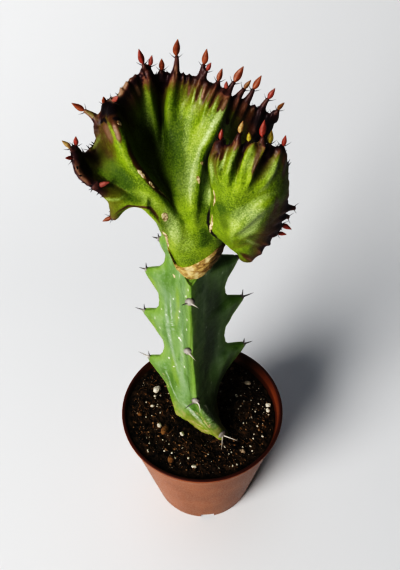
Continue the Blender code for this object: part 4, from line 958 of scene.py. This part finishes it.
# Spines: wing, height, then for each spine its way (out, side, up), length, curl (out, side, up)
# and the tones of its foot and tip.
STOCK_SPINES = (
    ("left", 103.5, (1, 0.1, 0.32), 6.6, (0, 0, 0.2), (0.75, 0.3),
     (0.15, 0, 1), 5.2, (-0.4, 0, 0), (0.5, 0.1)),
    ("left", 137.5, (1, 0, -0.05), 5.4, (0, 0, 0), (0.35, 0.05),
     (0.05, 0, 1), 4.8, (-0.3, 0, 0), (0.3, 0.05)),
    ("left", 165, (1, 0, -0.05), 4, (0, 0, 0), (0.35, 0.05),
     (0.05, 0, 1), 4.4, (-0.3, 0, 0), (0.3, 0.05)),
    ("left", 185, (1, 0, 0), 3.4, (0, 0, 0), (0.3, 0.05),
     (0.1, 0, 1), 3.2, (0, 0, 0), (0.3, 0.05)),
    ("right", 112.7, (1, 0, -0.22), 5.4, (0, 0, 0.5), (0.3, 0.05),
     (0.05, 0, 1), 4.8, (0, 0, 0), (0.3, 0.05)),
    ("right", 146.6, (1, 0, -0.12), 6.2, (0, 0, 0.7), (0.3, 0.1),
     (0.05, 0, 1), 5.2, (0, 0, 0), (0.3, 0.05)),
    ("right", 172.5, (1, 0, -0.2), 2.6, (0, 0, 0), (0.3, 0.1),
     (0.3, 0, 1), 1.6, (0, 0, 0), (0.3, 0.1)),
    ("front", 170, (0.35, -1, -0.1), 3.6, (0, 0, -0.4), (0.4, 0.05),
     (0.5, 1, -0.1), 4.6, (0, 0, -0.6), (0.75, 0.35)),
    ("front", 140, (0.5, -0.8, -0.3), 1.8, (0, 0, 0), (0.5, 0.2),
     (0.7, 1, -0.5), 5.2, (0, 0, -0.8), (0.7, 0.4)),
    ("front", 104.3, (0.6, -1, -0.3), 6.2, (0, 0, -0.8), (0.4, 0.05),
     (0.5, 1, 0.2), 6.6, (1.2, -3.4, -4.4), (0.9, 1.3)),
    ("front", 70.8, (0.9, 0.42, 0.1), 8.6, (0, 0, -0.3), (0.9, 0.9),
     (0.7, -0.7, -0.02), 8.2, (0, 0, -0.4), (0.9, 0.8)))


def build_stock_spines():
    spines = Gather()
    for name, z, *pair in STOCK_SPINES:
        r, a = wing_at(name, z)
        out, up = Vector((math.cos(a), math.sin(a), 0)), Vector((0, 0, 1))
        side = up.cross(out)
        axis = Vector([float(table(STOCK_AXIS, z, k)) for k in (1, 2)] + [z])
        tip = axis + out * (r - 0.5) + side * AREOLE_ASIDE.get(z, 0.0)
        size = 1.15 + AREOLE_SWELL * float(smoothstep(100.0, 72.0, z)) if name == "front" else 0.7
        spines.sweep([tip + out * along for along in (-1.0, -0.3, 0.35, 0.7)],
                     [r * size for r in (1.6, 1.8, 1.35, 0.5)], 12, (0.2, 0.32, 0.4, 0.5))
        for way, length, curl, tones in (pair[:4], pair[4:]):
            go, bend = (out * turn[0] + side * turn[1] + up * turn[2] for turn in (way, curl))
            spine(spines, tip - go.normalized() * 0.2, go, length, 0.5, bend, 9, tones)
    return spines.build("rootstock_spines")


def build_callus():
    rings = CALLUS_RINGS + 2 * CALLUS_CAP
    verts = []
    for j in range(rings):
        t = min(1.0, max(0.0, (j - CALLUS_CAP) / (CALLUS_RINGS - 1)))
        shrink = min(1.0, (j + 1) / (CALLUS_CAP + 1), (rings - j) / (CALLUS_CAP + 1))
        cx, cy, rx, ry = (float(table(NECK, 181.0 + 8.0 * t, k)) for k in (1, 2, 3, 4))
        swell = 0.5 + 0.5 * math.sin(math.pi * t)
        for c, s in spokes(CALLUS_SIDES):
            fold = noise.noise(Vector((c * 4 + 7.0, s * 4, t * 5.5 + c * 2.0)))
            rough = 0.4 * noise.noise(Vector((c * 5 + t * 1.6, s * 5, t * 2.6))) - 0.5 * abs(fold)
            x = cx + (rx + swell + rough) * shrink * c
            y = cy + (ry + swell + rough) * shrink * s
            low, high = float(table(GRAFT_LOW, x)) - 0.2, float(table(GRAFT_HIGH, x)) + 0.1
            wave = 0.45 * noise.noise(Vector((c * 5, s * 5, 3.0 + 2 * t)))
            verts.append((x, y, low + (high - low) * t + wave * shrink))
    return new_object("callus_band", verts, tube_faces(rings, CALLUS_SIDES))


def callus_skin():
    g = Graph("callus", Roughness=0.75)
    fibre = g.grain(420.0, 5.0, 0.65, g.stretch(0.4, 0.6, 1.2), 1.2)
    shade = g.step(g.axis(0) + (g.grain(300.0) - 0.5) * 0.012, -0.001, 0.008)
    colour = g.coat((0.16, 0.088, 0.024), (g.step(fibre, 0.3, 0.7), (0.52, 0.37, 0.14)),
                    (g.step(g.grain(260.0), 0.5, 0.66) * 0.6, (0.62, 0.52, 0.30)),
                    (shade * 0.8, (0.060, 0.034, 0.009)))
    return g.finish(colour, None, g.bump(fibre, 0.0010, 0.8))


# Pot and soil

def pot_inside(z):
    """Inner radius of the pot at a height."""
    walls = ((POT_FLOOR_TOP, POT_FOOT_R + POT_FLOOR_TOP * WALL_SLOPE - POT_WALL),
             (POT_COLLAR_Z, POT_COLLAR_R - POT_WALL), (POT_COLLAR_Z + 0.9, POT_COLLAR_R + 0.7 - POT_WALL),
             (POT_HEIGHT - 0.3, POT_RIM_R - 1.8))
    return float(table(walls, z))


def soil_edge(x, y):
    """Height of the soil against the pot's wall: it falls to one side."""
    toward = math.radians(SOIL_FALLS_TO)
    return SOIL_MEAN_Z - SOIL_TILT * (x * math.cos(toward) + y * math.sin(toward)) / SOIL_REACH


def soil_height(x, y):
    r = math.hypot(x, y)
    lump = (1.6 * noise.noise(Vector((x * 0.09, y * 0.09, 0.4)))
            + 0.9 * noise.noise(Vector((x * 0.23, y * 0.23, 3.1))))
    crown = 0.8 * (1.0 - (r / 40.0) ** 2)
    return soil_edge(x, y) + crown + lump * min(1.0, (SOIL_REACH - r) / 7.0 + 0.25)


def cutter(shape, place, **sizes):
    bm = bmesh.new()
    shape(bm, matrix=place, **sizes)
    mesh = bpy.data.meshes.new("cutter")
    bm.to_mesh(mesh)
    bm.free()
    return bpy.data.objects.new("cutter", mesh)


def bevel(r, z, *points):
    """Profile points, each given by how far it lies inward and down from a corner."""
    return [(r - inward, z - down) for inward, down in points]


def build_pot():
    profile = bevel(POT_RIM_R, POT_HEIGHT, (0.9, 0), (0.45, 0.03), (0.12, 0.22), (0, 0.6), (0.08, 1.4),
                    (0.5, 1.75), (0.8, 2.1))
    profile += bevel(POT_COLLAR_R, POT_COLLAR_Z, (-0.75, -0.7), (-0.6, -0.35), (-0.05, 0))
    profile += [(POT_COLLAR_R + (POT_FOOT_R - POT_COLLAR_R) * t, POT_COLLAR_Z + (1.0 - POT_COLLAR_Z) * t)
                for t in np.linspace(0.03, 1.0, 24)]
    profile += bevel(POT_FOOT_R, 0, (0.1, -0.45), (0.5, 0), (2.4, 0), (2.8, -POT_FLOOR_Z))
    profile += [(2.0, POT_FLOOR_Z), (2.0, POT_FLOOR_TOP)]
    profile += [(pot_inside(z), z) for z in (POT_FLOOR_TOP, POT_COLLAR_Z, POT_COLLAR_Z + 0.9)]
    profile += bevel(POT_RIM_R, POT_HEIGHT, (1.8, 0.5), (1.5, 0.12))
    steps, rows = POT_SIDES, len(profile)
    verts = [(POT_X + r * c, POT_Y + r * s, z) for r, z in profile for c, s in spokes(steps)]
    faces = []
    for low in range(0, rows * steps, steps):
        high = (low + steps) % (rows * steps)
        faces += [(low + k, high + k, high + (k + 1) % steps, low + (k + 1) % steps) for k in range(steps)]
    pot = new_object("pot_shell", verts, faces)
    cutters = bpy.data.collections.new("pot_cutters")
    bpy.context.scene.collection.children.link(cutters)
    notch = Matrix.Diagonal((NOTCH_DEPTH * MM, NOTCH_WIDTH * MM, 2 * NOTCH_HEIGHT * MM, 1.0))
    for k in range(NOTCH_COUNT):
        place = (Matrix.Rotation(math.radians(-86.0 + 360.0 * k / NOTCH_COUNT), 4, "Z")
                 @ Matrix.Translation((POT_FOOT_R * MM, 0.0, 0.0)))
        cutters.objects.link(cutter(bmesh.ops.create_cube, place @ notch, size=1.0))
    for k in range(DRAIN_COUNT):
        a = math.radians(30.0 + 360.0 * k / DRAIN_COUNT)
        place = Vector((DRAIN_RING_R * math.cos(a), DRAIN_RING_R * math.sin(a), POT_FLOOR_Z)) * MM
        cutters.objects.link(cutter(bmesh.ops.create_cone, Matrix.Translation(place), cap_ends=True,
                                    segments=32, radius1=DRAIN_R * MM, radius2=DRAIN_R * MM, depth=8 * MM))
    modify(pot, "BOOLEAN", operation="DIFFERENCE", operand_type="COLLECTION", collection=cutters)
    for spent in list(cutters.objects):
        bpy.data.objects.remove(spent, do_unlink=True)
    bpy.data.collections.remove(cutters)
    pot.data.shade_smooth()
    pot.data.set_sharp_from_angle(angle=math.radians(40))
    return pot


def pot_skin():
    g = Graph("pot_plastic", Specular_IOR_Level=0.4)
    height = g.axis(2)
    mottle, fine = g.grain(60.0, 4.0), g.grain(1400.0)
    specks = g.step(g.cells(240.0), 0.05, 0.12, 1.0, 0.0) * g.step(mottle, 0.5, 0.6)
    span = g.node("ShaderNodeVectorMath", {0: g.stretch(1.0, 1.0, 0.0)}, "Value", operation="LENGTH")
    # Painted shade: the inner wall is painted darker.
    inside = g.step(span - height * WALL_SLOPE, 0.0274, 0.0282, 1.0, 0.0)
    colour = g.coat((0.190, 0.068, 0.028), (g.step(mottle, 0.35, 0.65), (0.238, 0.089, 0.038)),
                    (specks * 0.4, (0.11, 0.042, 0.024)),
                    (g.step(height, 0.0720, 0.0724), (0.070, 0.018, 0.010)),
                    (inside * 0.85, (0.060, 0.016, 0.006)))
    normal = g.bump(fine, 0.00008, 0.5, g.bump(mottle, 0.0002, 0.4))
    return g.finish(colour, g.step(fine, 0.3, 0.7, 0.36, 0.5), normal)


def crumb_height(x, y):
    p = Vector((x, y, 0.0))
    crumbs = 0.75 * noise.fractal(p * 0.55, 0.8, 2.1, 4)
    return soil_height(x, y) + (crumbs + 0.5 * abs(noise.noise(p * 1.3 + Vector((7, 3, 1)))))


def build_soil():
    ring = [(c, s, soil_edge(c * SOIL_REACH, s * SOIL_REACH)) for c, s in spokes(SOIL_SIDES)]
    edges = [pot_inside(z) - 0.35 for c, s, z in ring]
    verts = []
    for i in range(1, SOIL_RINGS + 1):
        for (c, s, _), edge in zip(ring, edges):
            x, y = c * edge * i / SOIL_RINGS, s * edge * i / SOIL_RINGS
            verts.append((POT_X + x, POT_Y + y, crumb_height(x, y)))
    low_z = POT_FLOOR_Z + 1.5
    low_r = pot_inside(low_z) - 0.6
    skirt = [(c, s, pot_inside(z - 2.5) - 0.5, z - 2.5) for c, s, z in ring]
    skirt += [(c, s, r, low_z) for r in (low_r, low_r * 0.05) for c, s, z in ring]
    verts += [(POT_X + r * c, POT_Y + r * s, z) for c, s, r, z in skirt]
    return new_object("soil_bed", verts, tube_faces(SOIL_RINGS + 3, SOIL_SIDES))


def soil_skin():
    g = Graph("soil", Roughness=0.92, Specular_IOR_Level=0.25)
    clod = g.grain(260.0, 5.0, 0.65)
    dust = g.step(g.cells(620.0), 0.1, 0.24, 1.0, 0.0) * g.step(g.grain(420.0), 0.5, 0.62)
    colour = g.coat((0.006, 0.0045, 0.004), (g.step(clod, 0.35, 0.68), (0.078, 0.046, 0.022)),
                    (dust * 0.65, (0.27, 0.19, 0.11)))
    return g.finish(colour, None, g.bump(clod, 0.0012, 0.9))


# Larger grains that can be told apart: x, y, size, tone (1 perlite, 0.6 beige, 0.35 clay).
GRAINS = (
    (-24.7, 13.2, 4.6, 1), (-25.5, 8.5, 2.2, 0.9), (-26.5, 2, 2.4, 0.8), (25.7, 18.5, 3.6, 0.75),
    (10.5, 17.5, 2.8, 0.6), (17.5, 28.5, 2.4, 0.5), (19, 9.5, 2, 0.9), (36, 4.5, 2.6, 0.95),
    (35.5, 1, 2.4, 0.9), (-10.5, -15.5, 2.6, 1), (-4.5, -33, 2.2, 0.9), (-22.5, -9.5, 3, 0.8),
    (-19.5, -13, 4.4, 0.35), (-16, -29, 3.4, 0.4), (20.5, -24, 3, 0.6), (-33, -3, 2.6, 0.3))


def rock(gather, x, y, z, size, tone, rng, detail):
    bm = bmesh.new()
    bmesh.ops.create_icosphere(bm, subdivisions=detail, radius=1.0)
    turn = Matrix.Rotation(rng.uniform(0, 6.28), 3, Vector((rng.random(), rng.random(), 1)).normalized())
    spread = Matrix.Diagonal((0.52 * rng.uniform(0.85, 1.2), 0.46 * rng.uniform(0.8, 1.15),
                              0.40 * rng.uniform(0.8, 1.1)))
    seed = Vector((x, y, size)) * 3.1
    verts = [Vector((x, y, z)) + turn @ spread @ v.co * size * (1.0 + 0.28 * noise.noise(v.co * 1.7 + seed))
             for v in bm.verts]
    gather.add([tuple(v) for v in verts], [[v.index for v in f.verts] for f in bm.faces], tone)
    bm.free()


CRUMB_TONES = (0.03, 0.06, 0.1, 0.16, 0.22, 0.3, 0.5, 0.9)


def scatter(rng, count, reach):
    """Places on the soil that are clear of the stem."""
    for _ in range(count):
        a, r = rng.uniform(0, 2 * math.pi), reach * math.sqrt(rng.random())
        x, y = r * math.cos(a), r * math.sin(a)
        if math.hypot((x - 1.0) / 14.0, (y + 6.0) / 10.0) > 1.0:
            yield x, y


def build_grains():
    rng = random.Random(21)
    stones, bits = Gather(), Gather()
    for x, y, size, tone in GRAINS:
        rock(stones, POT_X + x, POT_Y + y, soil_height(x, y) + 0.25 * size, size, tone, rng, 3)
    for x, y in scatter(rng, CRUMB_COUNT, 37.5):
        size = 0.35 + 1.3 * rng.random() ** 4
        tone = rng.choice(CRUMB_TONES)
        rock(bits, POT_X + x, POT_Y + y, crumb_height(x, y) + 0.15, size, tone, rng, 1)
    for x, y in scatter(rng, CHIP_COUNT, 36.0):
        way = Vector((rng.uniform(-1, 1), rng.uniform(-1, 1), rng.uniform(-0.1, 0.25))).normalized()
        length = rng.uniform(1.5, 5.0)
        middle = Vector((POT_X + x, POT_Y + y, crumb_height(x, y) + 0.3))
        sag = Vector((rng.uniform(-0.5, 0.5), rng.uniform(-0.5, 0.5), 0.3))
        path = [middle - way * length / 2, middle + sag * 0.5, middle + way * length / 2]
        bits.sweep(path, (0.14, 0.24, 0.12), 5, [rng.choice((0.1, 0.15, 0.25, 0.4))] * 3, 0.6)
    return stones.build("soil_grains"), bits.build("soil_bits")


def grain_skin():
    g = Graph("grains", Roughness=0.9, Specular_IOR_Level=0.25)
    tone = g.mark("tone")
    pits = g.grain(900.0, 4.0, 0.7)
    colour = g.coat((0.012, 0.008, 0.006), (g.step(tone, 0.0, 0.4), (0.20, 0.11, 0.045)),
                    (g.step(tone, 0.4, 0.95), (0.66, 0.61, 0.50)),
                    (g.step(pits, 0.5, 0.68) * 0.6, (0.06, 0.035, 0.02)))
    return g.finish(colour, None, g.bump(pits, 0.0007, 0.9))


# Assemble the object

settle(build_crest(), crest_skin(), "crest_skin", "crest")
settle(build_leaves(), leaf_skin(), "crest_skin")
crest_horn = horn_skin("crest_spine", (0.16, 0.12, 0.10), (0.012, 0.008, 0.008))
settle(build_crest_spines(), crest_horn, "crest_skin")
settle(build_rootstock(), stock_skin(), "rootstock_skin", "rootstock")
stock_horn = horn_skin("stock_spine", (0.46, 0.42, 0.37), (0.020, 0.016, 0.018))
settle(build_stock_spines(), stock_horn, "rootstock_skin")
settle(build_callus(), callus_skin(), "callus", "graft_callus")
settle(build_pot(), pot_skin(), "pot_plastic", "pot")
settle(build_soil(), soil_skin(), "soil", "potting_soil")
grain_material = grain_skin()
for piece in build_grains():
    settle(piece, grain_material, "soil")

# Floor, camera and light

# Paper sweep under and behind the object: flat, then a long rising curve.
SWEEP_START = 160.0
SWEEP_RADIUS = 1100.0
SWEEP_ANGLE = math.radians(50.0)
SWEEP_HALF = 4000.0
SWEEP_FRONT = -3000.0
SWEEP_BACK = 2000.0


def build_sweep():
    rows = [(SWEEP_FRONT, 0.0), (SWEEP_START, 0.0)]
    rows += [(SWEEP_START + SWEEP_RADIUS * math.sin(a), SWEEP_RADIUS * (1 - math.cos(a)))
             for a in SWEEP_ANGLE * np.arange(1, 25) / 24]
    y, z = rows[-1]
    rows.append((y + SWEEP_BACK * math.cos(SWEEP_ANGLE), z + SWEEP_BACK * math.sin(SWEEP_ANGLE)))
    points = [(x, y, z) for y, z in rows for x in (-SWEEP_HALF, SWEEP_HALF)]
    return new_object("floor", points, [(i, i + 1, i + 3, i + 2) for i in range(0, 2 * len(rows) - 2, 2)])


floor = build_sweep()
paper = Graph("floor", Roughness=0.7, Specular_IOR_Level=0.15)
dress(floor, paper.finish(paper.mix(paper.grain(3.0), (0.79, 0.795, 0.80), (0.81, 0.815, 0.82))))

camera_data = bpy.data.cameras.new("camera")
assign(camera_data, sensor_fit="VERTICAL", sensor_height=CAMERA_SENSOR, sensor_width=24.0, lens=CAMERA_LENS,
       clip_start=0.01)
camera = link(bpy.data.objects.new("camera", camera_data))
camera.matrix_world = CAMERA_PLACE
bpy.context.scene.camera = camera


def area_light(name, position, target, size, power, colour, spread=180.0):
    data = bpy.data.lights.new(name, "AREA")
    assign(data, shape="ELLIPSE", size=size[0], size_y=size[1], energy=power, color=colour,
           spread=math.radians(spread))
    obj = link(bpy.data.objects.new(name, data))
    obj.location = position
    obj.rotation_euler = (Vector(target) - Vector(position)).to_track_quat("-Z", "Y").to_euler()


KEY_BEARING = Vector((-0.71, -0.704, 0.0))
KEY_RISE = math.radians(31.0)
KEY_DISTANCE = 2.0
key_place = (KEY_BEARING * math.cos(KEY_RISE) + Vector((0.0, 0.0, math.sin(KEY_RISE)))) * KEY_DISTANCE
# The key is aimed past the object to the upper left, so that the paper pales there and greys to the right.
area_light("key", key_place, (-0.32, 0.40, 0.15), size=(1.15, 1.7), power=37.5, colour=(1.0, 0.99, 0.975),
           spread=125.0)
area_light("fill", (-0.3, 0.3, 2.6), (0.0, 0.1, 0.0), size=(1.6, 1.6), power=8.4, colour=(0.84, 0.90, 1.0))
world = bpy.data.worlds.new("world")
world.use_nodes = True
world.node_tree.nodes["Background"].inputs["Color"].default_value = (0.80, 0.88, 1.0, 1.0)
world.node_tree.nodes["Background"].inputs["Strength"].default_value = 0.02
bpy.context.scene.world = world
# A photograph's contrast: soft darks pressed down, lights kept.
view = bpy.context.scene.view_settings
assign(view, view_transform="Standard", use_curve_mapping=True)
for x, y in ((0.08, 0.022), (0.22, 0.15), (0.5, 0.5)):
    view.curve_mapping.curves[3].points.new(x, y)
view.curve_mapping.update()
